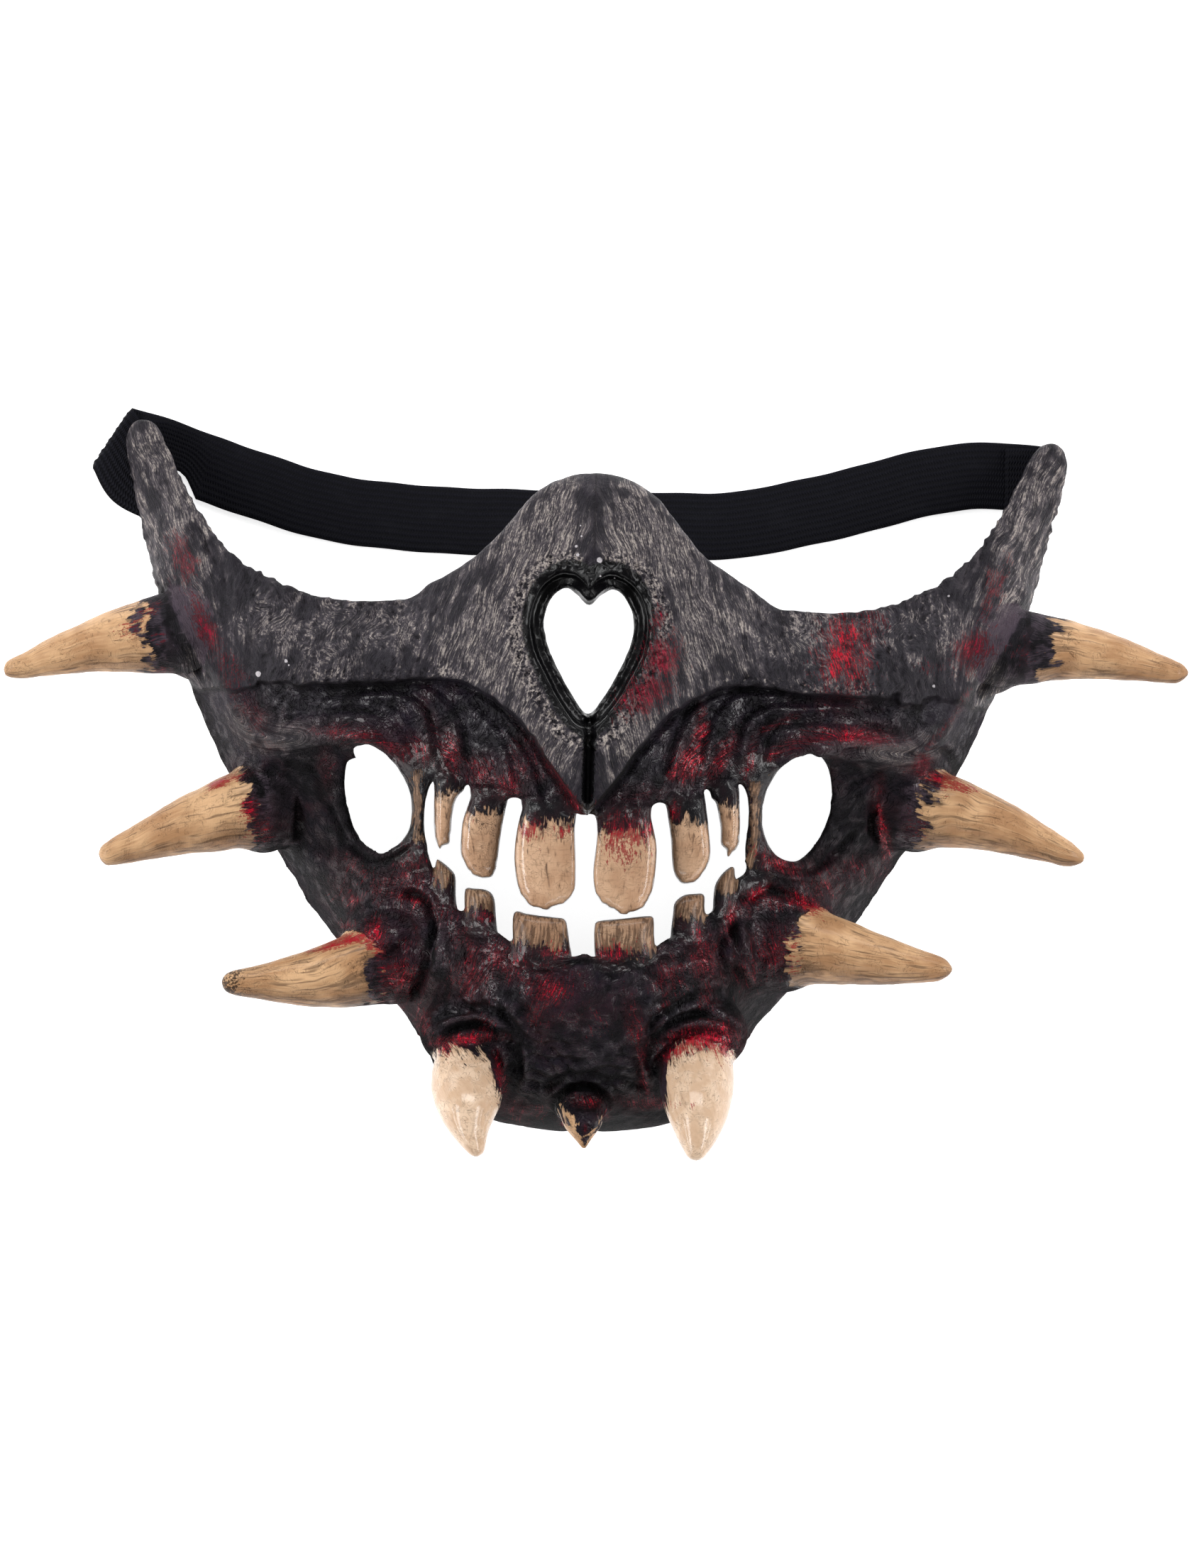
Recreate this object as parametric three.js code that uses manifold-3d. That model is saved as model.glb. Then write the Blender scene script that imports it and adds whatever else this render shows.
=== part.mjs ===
// Half mask of a fanged dragon mouth, lying face up on its back rim, with its elastic strap.
// Millimetres, +Z up (towards the viewer of the face), +Y towards the brow, +X to the viewer's right.
// Outlines are given as seen from straight above the face at VIEW_HEIGHT, as (U, V) on the plane z = 0;
// place() carries a point of that view to its true position at its own height.

import * as THREE from 'three';
import { mergeVertices } from 'three/addons/utils/BufferGeometryUtils.js';
import Module from 'manifold-3d';

// ---------------------------------------------------------------- driving dimensions
const VIEW_HEIGHT = 1000;      // height of the eye that the outlines are drawn for
const VIEW_X = 1.81;           // that eye stands over this x
const WALL = 2.6;              // wall of the casting
const EAR_CLEAR = 2.95;        // height of the underside of the horn tips, over the strap
const EAR_THICK = 5.5;         // depth of the horns
const RIM_ARCH = 8;            // rise of the side rim off the ground between horn and chin
const ARCH_HALF = 57;          // half length of that rise
const SOCKET_DEPTH = 5;        // hollow round each cheek opening
const NOSTRIL_DEPTH = 6;       // hollow round the nose opening
const BAND = 15;               // strap width
const BAND_T = 1.3;            // strap thickness

// half outline, right side: brow edge from the middle out, horn tip, then the jaw edge down to the chin
const BROW = [[0, 70.1], [5, 69.6], [10, 67.6], [14.5, 64.4], [19.5, 58.2], [25, 52], [31, 47.6], [36.5, 44.3], [41, 41],
  [46, 40.2], [54, 39.9], [62, 40.8], [70, 43.2], [78, 47.2], [84.5, 52.6], [89, 58.6], [92.8, 65], [96, 72], [98.6, 77]];
const HORN_TIP = [[98.6, 77], [100.4, 79], [103, 79.5], [105.2, 78], [106.2, 75]];
const JAW = [[106.2, 75], [105.2, 68], [103, 60], [100.6, 50], [98.2, 41], [90.6, 21], [82, 2], [70.5, -15.5], [59, -33],
  [45, -47.5], [36.5, -58], [32.3, -66], [27, -72.5], [20, -76.2], [10, -78], [0, -78.4]];

// relief: height along the middle, height of the jaw rim, and how the height falls from the middle to the rim
const MIDDLE = [[-79, 12], [-77.6, 24], [-75, 36], [-71, 47], [-66, 56], [-58, 62.5], [-50, 66], [-42, 68], [-30, 70], [-18, 72.5],
  [-8, 75], [0, 77], [10, 78.5], [25, 78], [40, 75], [50, 71.5], [60, 67], [66, 63.5], [70.5, 59], [80, 52]];
const RIM = [[-66, 3.5], [-57, 4], [-45, 6], [-25, 9], [0, 11.5], [30, 9], [45, 6], [60, 5], [80, 5]];
const FALL_CHEEK = [[0, 0], [0.155, 0.1], [0.33, 0.235], [0.55, 0.355], [0.77, 0.53], [0.885, 0.7], [0.97, 0.9], [1, 1], [1.2, 1.3]];
const PLATE_EDGE = [[0, -6.9], [3, -3.5], [8, 3], [12, 9], [15.5, 13.3], [20, 17.5], [25, 20.3], [30, 22.5], [36, 22.8], [48, 21.6],
  [62, 21], [76, 20], [90, 20]];
const PLATE_RISE = [[0, 6], [20, 5.5], [40, 4.2], [60, 3.2], [76, 1.8], [86, 0]];
const CHEEK_RIDGE = [[97, 45], [88, 30], [82, 20], [78, 12], [72, 8.5], [60, 9], [52, 9.5]];

// openings
const NOSE = [[-0.8, 40.2], [2, 42.6], [4.6, 43.9], [7.6, 41.6], [9.4, 36.5], [8.6, 31], [6, 25], [3, 19.6], [-0.6, 15.8],
  [-4.4, 20.4], [-7.4, 25.6], [-9.9, 31], [-10.9, 36.8], [-9.2, 41.8], [-6.2, 44], [-3.6, 42.6]];
const CHEEK_HOLE = { x: 47.2, y: -4.3, rx: 7.45, ry: 12.1, lean: 0.12, peak: 1.2 };
const MOUTH = [[0, -6.9], [8, -5.4], [17, -3.5], [28.8, -1], [34.6, 0.8], [36.3, -3], [36.5, -10], [36.2, -16], [35.4, -20.3],
  [34, -22.5], [33.6, -27.5], [28.5, -29.8], [18, -34.6], [9, -37.6], [0, -38.7]];

// teeth, right side: centre of the root, half width there, widest half width and where, tip
const UPPER_TEETH = [
  { root: [8.6, -3.5], tip: [8.6, -28.9], w0: 6.2, w1: 6.9, blunt: 0.34 },
  { root: [23.2, 0], tip: [23.6, -21.8], w0: 4.1, w1: 4.7, blunt: 0.3 },
  { root: [32.6, 2.5], tip: [31.9, -15.3], w0: 2.3, w1: 2.1, blunt: 0.3 },
];
const LOWER_TEETH = [
  { root: [9.3, -41.5], tip: [9.3, -29.8], w0: 6.6, w1: 6.6, blunt: 0.1 },
  { root: [23.7, -36], tip: [23.7, -24.4], w0: 3.6, w1: 3.5, blunt: 0.25 },
  { root: [31.8, -31.5], tip: [32.4, -18.4], w0: 2.6, w1: 2.1, blunt: 0.3 },
];

// spikes: root and tip as (U, V, z), sideways bow of the axis, radius at the tip and growth per mm
const SPIKES = [
  { root: [-86, 33, 18], tip: [-132.8, 21.9, 21], bow: 1.6, rt: 2.0, grow: 0.176 },
  { root: [86, 34, 18], tip: [134.9, 28, 21], bow: 2.0, rt: 2.0, grow: 0.163 },
  { root: [-68, -4.5, 22], tip: [-110.2, -19.6, 27], bow: 0.9, rt: 2.0, grow: 0.184 },
  { root: [68, -2, 22], tip: [112.7, -14.6, 27], bow: 1.2, rt: 2.0, grow: 0.17 },
  { root: [-40, -40, 34], tip: [-81.4, -47.2, 48], bow: 1.4, rt: 2.1, grow: 0.195 },
  { root: [42, -34.5, 34], tip: [82.9, -40, 48], bow: 1.4, rt: 2.1, grow: 0.195 },
];
const FANGS = [
  { root: [-25.2, -57, 46], tip: [-23.2, -84.7, 70], r: 8.5 },
  { root: [26.2, -56, 46], tip: [26.4, -84.7, 70], r: 8.7 },
];
const CHIN_SPIKE = { root: [0, -67, 44], tip: [0.8, -82.8, 58], r: 5.2 };
// swollen flesh that hoods the roots: centre (U, V, z) and half sizes
const HOODS = [
  { at: [-42.5, -38, 34], r: [12.5, 13, 12] }, { at: [44, -33.5, 34], r: [12.5, 13, 12] },
  { at: [-25.5, -56.5, 47], r: [11, 9, 10] }, { at: [26.5, -55.5, 47], r: [11, 9, 10] },
  { at: [-73, -7, 21], r: [9, 10.5, 9.5] }, { at: [74, -3.5, 21], r: [9, 10, 9.5] },
  { at: [-89, 31.5, 16], r: [8.5, 10.5, 9.5] }, { at: [90, 33, 16], r: [8.5, 10.5, 9.5] },
];

// strap: centre line on the ground, and the turned-over end under the left horn
const BAND_LINE = [[-109.2, 75.4], [-101, 73.6], [-92, 70.6], [-80, 66.4], [-65, 62], [-50, 59.4], [-30, 58.5], [0, 58.3], [27, 58.8],
  [40, 60.6], [55, 64.4], [70, 68.6], [80, 71], [87, 71.8], [94, 71.6], [103, 70.6]];
const FOLD = { low: [-113.5, 68.2], high: [-104.4, 82.4] };
const END_RUN = [9.6, -8.2];

// ---------------------------------------------------------------- small maths
const clamp = (x, a, b) => Math.min(b, Math.max(a, x));
const smooth = (a, b, x) => { const t = clamp((x - a) / (b - a), 0, 1); return t * t * (3 - 2 * t); };
const mix = (a, b, t) => a + (b - a) * t;
const gauss = (x, s) => Math.exp(-(x / s) * (x / s));

// smooth curve through the rows of a table, without overshoot
function table(rows, x) {
  const n = rows.length;
  x = clamp(x, rows[0][0], rows[n - 1][0]);
  let i = 0;
  while (i < n - 2 && x > rows[i + 1][0]) i++;
  const h = (k) => rows[k + 1][0] - rows[k][0];
  const d = (k) => (rows[k + 1][1] - rows[k][1]) / h(k);
  const m = (k) => {
    if (k === 0) return d(0);
    if (k === n - 1) return d(n - 2);
    if (d(k - 1) * d(k) <= 0) return 0;
    const w1 = 2 * h(k) + h(k - 1), w2 = h(k) + 2 * h(k - 1);
    return (w1 + w2) / (w1 / d(k - 1) + w2 / d(k));
  };
  const t = (x - rows[i][0]) / h(i);
  return (2 * t ** 3 - 3 * t ** 2 + 1) * rows[i][1] + (t ** 3 - 2 * t ** 2 + t) * h(i) * m(i)
    + (-2 * t ** 3 + 3 * t ** 2) * rows[i + 1][1] + (t ** 3 - t ** 2) * h(i) * m(i + 1);
}

const spline = (pts, n, closed = false) =>
  new THREE.CatmullRomCurve3(pts.map(([x, y]) => new THREE.Vector3(x, y, 0)), closed, 'catmullrom', 0.5)
    .getSpacedPoints(n).map((p) => [p.x, p.y]);

function distanceTo(line, u, v, closed = false) {
  let best = 1e9;
  const n = line.length;
  for (let i = 0; i < (closed ? n : n - 1); i++) {
    const [ax, ay] = line[i], [bx, by] = line[(i + 1) % n];
    const ex = bx - ax, ey = by - ay, l2 = ex * ex + ey * ey;
    if (l2 < 1e-9) continue;
    const t = clamp(((u - ax) * ex + (v - ay) * ey) / l2, 0, 1);
    best = Math.min(best, Math.hypot(u - ax - t * ex, v - ay - t * ey));
  }
  return best;
}

// a view point (U, V) at height z, as a true point
const place = (u, v, z) => [VIEW_X + (u - VIEW_X) * (VIEW_HEIGHT - z) / VIEW_HEIGHT, v * (VIEW_HEIGHT - z) / VIEW_HEIGHT, z];

// ---------------------------------------------------------------- relief of the face
const browLine = spline(BROW, 48);
const tipLine = spline(HORN_TIP, 16);
const jawLine = spline(JAW, 64);
const noseLine = spline(NOSE, 34, true).slice(0, -1);
const ridgeLine = spline(CHEEK_RIDGE, 16);
const halfWidthRows = spline(JAW, 40).map(([u, v]) => [v, u]).reverse().filter((r, i, a) => i === 0 || r[0] > a[i - 1][0] + 0.4);

function face(u, v) {                       // smooth face without the armour
  const a = Math.abs(u);
  const wide = Math.max(table(halfWidthRows, v), 33);
  const t = a / wide;
  const chin = smooth(-20, -52, v);
  const fall = mix(table(FALL_CHEEK, t), 0.15 * t * t + 0.85 * t ** 4, chin);
  const mid = table(MIDDLE, v), rim = table(RIM, v);
  let h = (mid - rim) * (1 - fall);
  h *= 1 - 0.62 * smooth(48, 78, v) * smooth(40, 85, a);    // horns lie low
  let z = rim + h;
  z -= 7 * (1 - smooth(0, 15, distanceTo(browLine, a, v))) * smooth(26, 46, a) * (1 - smooth(80, 95, a));
  return z;
}
function relief(u, v) {                     // face with its armour plate, ridges and hollows
  const a = Math.abs(u);
  let z = face(u, v);
  const slope = (table(PLATE_EDGE, a + 1) - table(PLATE_EDGE, Math.max(a - 1, 0))) / 2;
  const d = (v - table(PLATE_EDGE, a)) / Math.hypot(1, slope);
  z += table(PLATE_RISE, a) * smooth(-1.4, 1.4, d);
  z += 2.2 * gauss(distanceTo(ridgeLine, a, v), 4.5);
  z -= SOCKET_DEPTH * (1 - smooth(0.62, 1.05, Math.hypot((a - 56) / 19, (v + 5) / 15)));
  z -= NOSTRIL_DEPTH * (1 - smooth(0.6, 5, distanceTo(noseLine, u, v, true)));
  return Math.max(z, table(RIM, v));
}
function inside(u, v) {                     // back of the wall
  const a = Math.abs(u), e = 0.8;
  const gx = (face(u + e, v) - face(u - e, v)) / (2 * e), gy = (face(u, v + e) - face(u, v - e)) / (2 * e);
  const nose = NOSTRIL_DEPTH * 0.8 * (1 - smooth(2, 9, distanceTo(noseLine, u, v, true)));
  const socket = SOCKET_DEPTH * 0.9 * (1 - smooth(0.75, 1.25, Math.hypot((a - 56) / 19, (v + 5) / 15)));
  const wall = Math.min(WALL * Math.sqrt(1 + gx * gx + gy * gy), 8.5);
  const horn = smooth(40, 52, v) * smooth(78, 90, a);
  let z = face(u, v) - nose - socket - mix(wall, EAR_THICK, horn);
  return Math.max(z, mix(-3, EAR_CLEAR, smooth(52, 58, v) * smooth(75, 85, a)));
}

// ---------------------------------------------------------------- solids
const wasm = await Module();
wasm.setup();

function toSolid(geometry) {
  const g = geometry.index ? geometry.clone() : geometry.clone();
  g.deleteAttribute('normal');
  if (g.getAttribute('uv')) g.deleteAttribute('uv');
  const m = mergeVertices(g, 1e-4);
  return new wasm.Manifold(new wasm.Mesh({
    numProp: 3, vertProperties: new Float32Array(m.attributes.position.array), triVerts: new Uint32Array(m.index.array),
  }));
}
function toGeometry(solid) {
  const mesh = solid.getMesh();
  const g = new THREE.BufferGeometry();
  g.setAttribute('position', new THREE.BufferAttribute(new Float32Array(mesh.vertProperties), 3));
  g.setIndex(new THREE.BufferAttribute(new Uint32Array(mesh.triVerts), 1));
  g.computeVertexNormals();
  return g;
}

// closed solid between two heights over a grid of view points: grid[col][row] = [u, v]
function gridSolid(grid, top, bottom) {
  const nc = grid.length, nr = grid[0].length, pos = [], idx = [];
  for (const h of [top, bottom]) for (const col of grid) for (const [u, v] of col) pos.push(...place(u, v, h(u, v)));
  const T = (c, r) => c * nr + r, B = (c, r) => nc * nr + c * nr + r;
  for (let c = 0; c < nc - 1; c++) for (let r = 0; r < nr - 1; r++) {
    idx.push(T(c, r), T(c, r + 1), T(c + 1, r + 1), T(c, r), T(c + 1, r + 1), T(c + 1, r));
    idx.push(B(c, r), B(c + 1, r + 1), B(c, r + 1), B(c, r), B(c + 1, r), B(c + 1, r + 1));
  }
  const wall = (p, q, P, Q) => idx.push(p, P, Q, p, Q, q);
  for (let c = 0; c < nc - 1; c++) {
    wall(T(c + 1, 0), T(c, 0), B(c + 1, 0), B(c, 0));
    wall(T(c, nr - 1), T(c + 1, nr - 1), B(c, nr - 1), B(c + 1, nr - 1));
  }
  for (let r = 0; r < nr - 1; r++) {
    wall(T(0, r), T(0, r + 1), B(0, r), B(0, r + 1));
    wall(T(nc - 1, r + 1), T(nc - 1, r), B(nc - 1, r + 1), B(nc - 1, r));
  }
  const g = new THREE.BufferGeometry();
  g.setAttribute('position', new THREE.Float32BufferAttribute(pos, 3));
  g.setIndex(idx);
  const s = toSolid(g);
  if (s.volume() > 0) return s;
  for (let i = 0; i < idx.length; i += 3) [idx[i + 1], idx[i + 2]] = [idx[i + 2], idx[i + 1]];
  g.setIndex(idx);
  return toSolid(g);
}

// rows of view points between the brow edge and the jaw edge, over both halves
const at = (line, s) => { const k = clamp(s, 0, 1) * (line.length - 1), i = Math.min(Math.floor(k), line.length - 2), f = k - i; return [mix(line[i][0], line[i + 1][0], f), mix(line[i][1], line[i + 1][1], f)]; };
function fan(halfCols, rows, brow, jaw, ease) {
  const cols = [];
  for (let c = -halfCols; c <= halfCols; c++) {
    const s = Math.abs(c) / halfCols, side = Math.sign(c) || 1;
    const p = brow(s), q = jaw(s), col = [];
    for (let r = 0; r <= rows; r++) {
      const t = ease(r / rows, s);
      let pt = [mix(p[0], q[0], t), mix(p[1], q[1], t)];
      if (s === 1 && ease.tip) pt = at(tipLine, r / rows);
      col.push([side * pt[0], pt[1]]);
    }
    cols.push(col);
  }
  return cols;
}
// rows bunch at the lower edge of the armour plate, so that its step runs along a row
const plateShare = (s) => {
  const p = at(browLine, s), q = at(jawLine, 1 - s);
  for (let t = 0.02; t < 0.84; t += 0.005) {
    const u = mix(p[0], q[0], t), v = mix(p[1], q[1], t);
    if (v < table(PLATE_EDGE, u)) return t;
  }
  return 0.84;
};
const STEP_HALF = 0.011, ROWS_ABOVE = 9, ROWS_BELOW = 14;
const outerEase = (r, s) => {
  const e = plateShare(s), i = Math.round(r * (ROWS_ABOVE + ROWS_BELOW + 1));
  return i <= ROWS_ABOVE ? (e - STEP_HALF) * i / ROWS_ABOVE : mix(e + STEP_HALF, 1, (i - ROWS_ABOVE - 1) / ROWS_BELOW);
};
outerEase.tip = true;
const outerGrid = fan(26, ROWS_ABOVE + ROWS_BELOW + 1, (s) => at(browLine, s), (s) => at(jawLine, 1 - s), outerEase);
const jawInner = (s) => {
  const p = at(jawLine, 1 - s), q = at(jawLine, 1 - s + 0.01), r = at(jawLine, 1 - s - 0.01);
  const len = Math.hypot(q[0] - r[0], q[1] - r[1]) || 1;
  const n = [-(q[1] - r[1]) / len, (q[0] - r[0]) / len];      // pointing out of the face
  const out = mix(-WALL, 9, smooth(40, 54, p[1]));
  return [Math.max(p[0] + n[0] * out, 0), p[1] + n[1] * out];
};
const innerGrid = fan(16, 13, (s) => [mix(0, 122, s), 92], (s) => (s > 0.999 ? [124, 74] : jawInner(s)), (t) => t);

const frustum = (outline, z0, z1) => {      // straight-through cut along the line of sight
  const shape = new THREE.Shape(outline.map(([x, y]) => new THREE.Vector2(x, y)));
  const g = new THREE.ExtrudeGeometry(shape, { depth: z1 - z0, bevelEnabled: false });
  const p = g.attributes.position;
  for (let i = 0; i < p.count; i++) p.setXYZ(i, ...place(p.getX(i), p.getY(i), p.getZ(i) + z0));
  return toSolid(g);
};
const mirrored = (pts) => pts.map(([x, y]) => [-x, y]).reverse();

function cheekOutline(side) {
  const { x, y, rx, ry, lean, peak } = CHEEK_HOLE, pts = [];
  for (let i = 0; i < 18; i++) {
    const a = (i / 18) * 2 * Math.PI, s = Math.sin(a), c = Math.cos(a);
    const r = 1 + (peak / ry) * Math.max(0, Math.abs(s) - 0.9) * 2;
    pts.push([side * (x + rx * c * (1 + 0.08 * s) + lean * ry * s), y + ry * s * r]);
  }
  return side < 0 ? pts.reverse() : pts;
}
function mouthOutline() {
  const right = spline(MOUTH, 24);
  return [...right.reverse(), ...mirrored(right.slice(0).reverse()).reverse().slice(1, -1)];
}

// a tooth: rounded outline laid on the face, with a crowned front
function tooth({ root, tip, w0, w1, blunt }, side) {
  const len = Math.hypot(tip[0] - root[0], tip[1] - root[1]);
  const dir = [(tip[0] - root[0]) / len, (tip[1] - root[1]) / len], nrm = [-dir[1], dir[0]];
  const shape = new THREE.Shape();
  const half = (k) => mix(w0, w1, smooth(0, 0.6, k));
  const P = (k, w) => [side * (root[0] + dir[0] * k * len + nrm[0] * w), root[1] + dir[1] * k * len + nrm[1] * w];
  const pts = [];
  const edge = [0, 0.4, 1 - blunt];
  for (const k of edge) pts.push(P(k, half(k)));
  for (const q of [0.55]) pts.push(P(1 - blunt * (1 - Math.sin(q * Math.PI / 2)), half(1) * Math.cos(q * Math.PI / 2)));
  pts.push(P(1, half(1) * 0.3), P(1, -half(1) * 0.3));
  for (const q of [0.55]) pts.push(P(1 - blunt * (1 - Math.sin(q * Math.PI / 2)), -half(1) * Math.cos(q * Math.PI / 2)));
  for (const k of edge.slice().reverse()) pts.push(P(k, -half(k)));
  if (THREE.ShapeUtils.area(pts.map(([x, y]) => new THREE.Vector2(x, y))) < 0) pts.reverse();
  const cx = pts.reduce((s, p) => s + p[0], 0) / pts.length, cy = pts.reduce((s, p) => s + p[1], 0) / pts.length;
  const rings = [[1, -4.2], [1, -0.4], [0.8, 1.3]];
  const pos = [], idx = [], n = pts.length;
  for (const [k, h] of rings) for (const [x, y] of pts) {
    const u = cx + (x - cx) * k, v = cy + (y - cy) * k;
    pos.push(...place(u, v, face(u, v) + h));
  }
  const capT = pos.length / 3; pos.push(...place(cx, cy, face(cx, cy) + 1.9));
  const capB = pos.length / 3; pos.push(...place(cx, cy, face(cx, cy) - 4.2));
  for (let r = 0; r < rings.length - 1; r++) for (let i = 0; i < n; i++) {
    const a = r * n + i, b = r * n + (i + 1) % n;
    idx.push(a, b, b + n, a, b + n, a + n);
  }
  for (let i = 0; i < n; i++) {
    idx.push(capT, (rings.length - 1) * n + i, (rings.length - 1) * n + (i + 1) % n);
    idx.push(capB, (i + 1) % n, i);
  }
  const g = new THREE.BufferGeometry();
  g.setAttribute('position', new THREE.Float32BufferAttribute(pos, 3));
  g.setIndex(idx);
  return toSolid(g);
}

// a horn: turned profile bent along a bowed axis
function horn(root, tip, radius, bow, sides, steps) {
  const R = new THREE.Vector3(...place(...root)), T = new THREE.Vector3(...place(...tip));
  const L = R.distanceTo(T);
  const profile = [new THREE.Vector2(0, 0)];
  for (let i = 0; i <= steps; i++) {
    const y = L * Math.sin((i / steps) * Math.PI / 2);
    const r = radius(L - y);
    profile.push(new THREE.Vector2(i === steps ? 0 : r, y));
  }
  const g = new THREE.LatheGeometry(profile, sides);
  const axis = T.clone().sub(R).normalize();
  const up = new THREE.Vector3(0, 0, 1).cross(axis).normalize();
  if (up.y < 0) up.negate();
  const other = new THREE.Vector3().crossVectors(axis, up);
  const p = g.attributes.position;
  for (let i = 0; i < p.count; i++) {
    const k = p.getY(i) / L;
    const c = R.clone().addScaledVector(axis, p.getY(i)).addScaledVector(up, bow * 4 * k * (1 - k));
    c.addScaledVector(up, p.getX(i)).addScaledVector(other, p.getZ(i));
    p.setXYZ(i, c.x, c.y, c.z);
  }
  const s = toSolid(g);
  if (s.volume() > 0) return s;
  const ix = g.index.array;
  for (let i = 0; i < ix.length; i += 3) [ix[i + 1], ix[i + 2]] = [ix[i + 2], ix[i + 1]];
  return toSolid(g);
}
const coneRadius = (rt, grow) => (d) => (d < rt ? Math.sqrt(Math.max(rt * rt - (rt - d) ** 2, 0)) : rt) + grow * d;
const fangRadius = (r) => (d) => Math.min(1.95 * Math.sqrt(d), mix(1.95 * Math.sqrt(d), r, smooth(8, 22, d)));
const spikeRadius = (r) => (d) => Math.min(0.45 * d + 0.5 * Math.sqrt(d), r);

function hood({ at: [u, v, z], r }) {
  const g = new THREE.SphereGeometry(1, 12, 8);
  const m = new THREE.Matrix4().makeRotationX(Math.PI / 2);
  g.applyMatrix4(m).scale(...r).translate(...place(u, v, z));
  return toSolid(g);
}

// ---------------------------------------------------------------- the casting
let body = gridSolid(outerGrid, relief, () => -6);
for (const h of HOODS) body = body.add(hood(h));
for (const s of SPIKES) body = body.add(horn(s.root, s.tip, coneRadius(s.rt, s.grow), s.bow, 12, 6));
for (const f of FANGS) body = body.add(horn(f.root, f.tip, fangRadius(f.r), 0, 12, 7));
body = body.add(horn(CHIN_SPIKE.root, CHIN_SPIKE.tip, spikeRadius(CHIN_SPIKE.r), 0, 10, 5));
body = body.subtract(gridSolid(innerGrid, inside, () => -12));

body = body.subtract(frustum(noseLine, 20, 110));
for (const side of [-1, 1]) body = body.subtract(frustum(cheekOutline(side), 10, 110));
body = body.subtract(frustum(mouthOutline(), 20, 110));
for (const side of [-1, 1]) for (const t of [...UPPER_TEETH, ...LOWER_TEETH]) body = body.add(tooth(t, side));

// groove below the nose opening
const groove = [];
for (let c = 0; c < 3; c++) { const col = []; for (let r = 0; r <= 6; r++) col.push([(c - 1) * 1.3, mix(-8.5, 17, r / 6)]); groove.push(col); }
body = body.subtract(gridSolid(groove, (u, v) => relief(u, v) + 6, (u, v) => face(0, v) + 6 - 3 * (1 - Math.abs(u) / 1.3) + 0.3));

// flat where it stands, arched along the sides
const floor = new THREE.BoxGeometry(400, 300, 40).translate(0, 0, -20);
body = body.subtract(toSolid(floor));
const R = (ARCH_HALF ** 2 + RIM_ARCH ** 2) / (2 * RIM_ARCH);
const arch = new THREE.CylinderGeometry(R, R, 400, 64).rotateZ(Math.PI / 2).translate(0, -2, RIM_ARCH - R);
body = body.subtract(toSolid(arch));
const parts = body.decompose();
body = parts.sort((a, b) => b.volume() - a.volume())[0];

// ---------------------------------------------------------------- the strap
function ribbon(line, width, z0, z1) {
  const pos = [], idx = [], n = line.length;
  line.forEach(([x, y], i) => {
    const p = line[Math.max(i - 1, 0)], q = line[Math.min(i + 1, n - 1)];
    const l = Math.hypot(q[0] - p[0], q[1] - p[1]), nx = -(q[1] - p[1]) / l, ny = (q[0] - p[0]) / l;
    for (const [k, z] of [[0.5, z0], [0.5, z1], [-0.5, z1], [-0.5, z0]]) pos.push(x + nx * width * k, y + ny * width * k, z);
  });
  for (let i = 0; i < n - 1; i++) for (let k = 0; k < 4; k++) {
    const a = i * 4 + k, b = i * 4 + (k + 1) % 4;
    idx.push(a, b, b + 4, a, b + 4, a + 4);
  }
  const e = (n - 1) * 4;
  idx.push(0, 2, 1, 0, 3, 2, e, e + 1, e + 2, e, e + 2, e + 3);
  const g = new THREE.BufferGeometry();
  g.setAttribute('position', new THREE.Float32BufferAttribute(pos, 3));
  g.setIndex(idx);
  const s = toSolid(g);
  if (s.volume() > 0) return s;
  for (let i = 0; i < idx.length; i += 3) [idx[i + 1], idx[i + 2]] = [idx[i + 2], idx[i + 1]];
  g.setIndex(idx);
  return toSolid(g);
}
const flat = (pts, z0, z1) => {
  const list = pts.map(([x, y]) => new THREE.Vector2(x, y));
  if (THREE.ShapeUtils.area(list) < 0) list.reverse();
  return toSolid(new THREE.ExtrudeGeometry(new THREE.Shape(list), { depth: z1 - z0, bevelEnabled: false }).translate(0, 0, z0));
};
let band = ribbon(spline(BAND_LINE.slice(1), 34), BAND, 0, BAND_T);
const lead = spline(BAND_LINE, 60).find((p) => p[0] > -101);
band = band.add(flat([FOLD.low, FOLD.high, [lead[0] + 1, lead[1] + BAND / 2], [lead[0] - 2, lead[1] - BAND / 2 - 0.2]], 0, BAND_T));
band = band.add(flat([FOLD.low, FOLD.high, [FOLD.high[0] + END_RUN[0], FOLD.high[1] + END_RUN[1]], [FOLD.low[0] + END_RUN[0] * 1.3, FOLD.low[1] + END_RUN[1] * 1.3]], BAND_T - 0.05, 2 * BAND_T));
band = band.add(flat([[95.5, 64], [105, 63.2], [105.4, 77.6], [95.9, 78.6]], BAND_T - 0.05, 2 * BAND_T));

// ---------------------------------------------------------------- scene graph
// the origin is under the middle of the whole, on the ground
const group = new THREE.Group();
const latex = new THREE.MeshStandardMaterial({ color: 0x1f1d22, roughness: 0.45, metalness: 0 });
const elastic = new THREE.MeshStandardMaterial({ color: 0x0b0b0d, roughness: 0.8, metalness: 0 });
const shellMesh = new THREE.Mesh(toGeometry(body), latex);
shellMesh.name = 'mask_shell';
const strapMesh = new THREE.Mesh(toGeometry(band), elastic);
strapMesh.name = 'elastic_strap';
group.add(shellMesh, strapMesh);
const centre = new THREE.Box3().setFromObject(group).getCenter(new THREE.Vector3());
for (const m of group.children) m.position.set(-centre.x, -centre.y, 0);

export default group;
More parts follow.
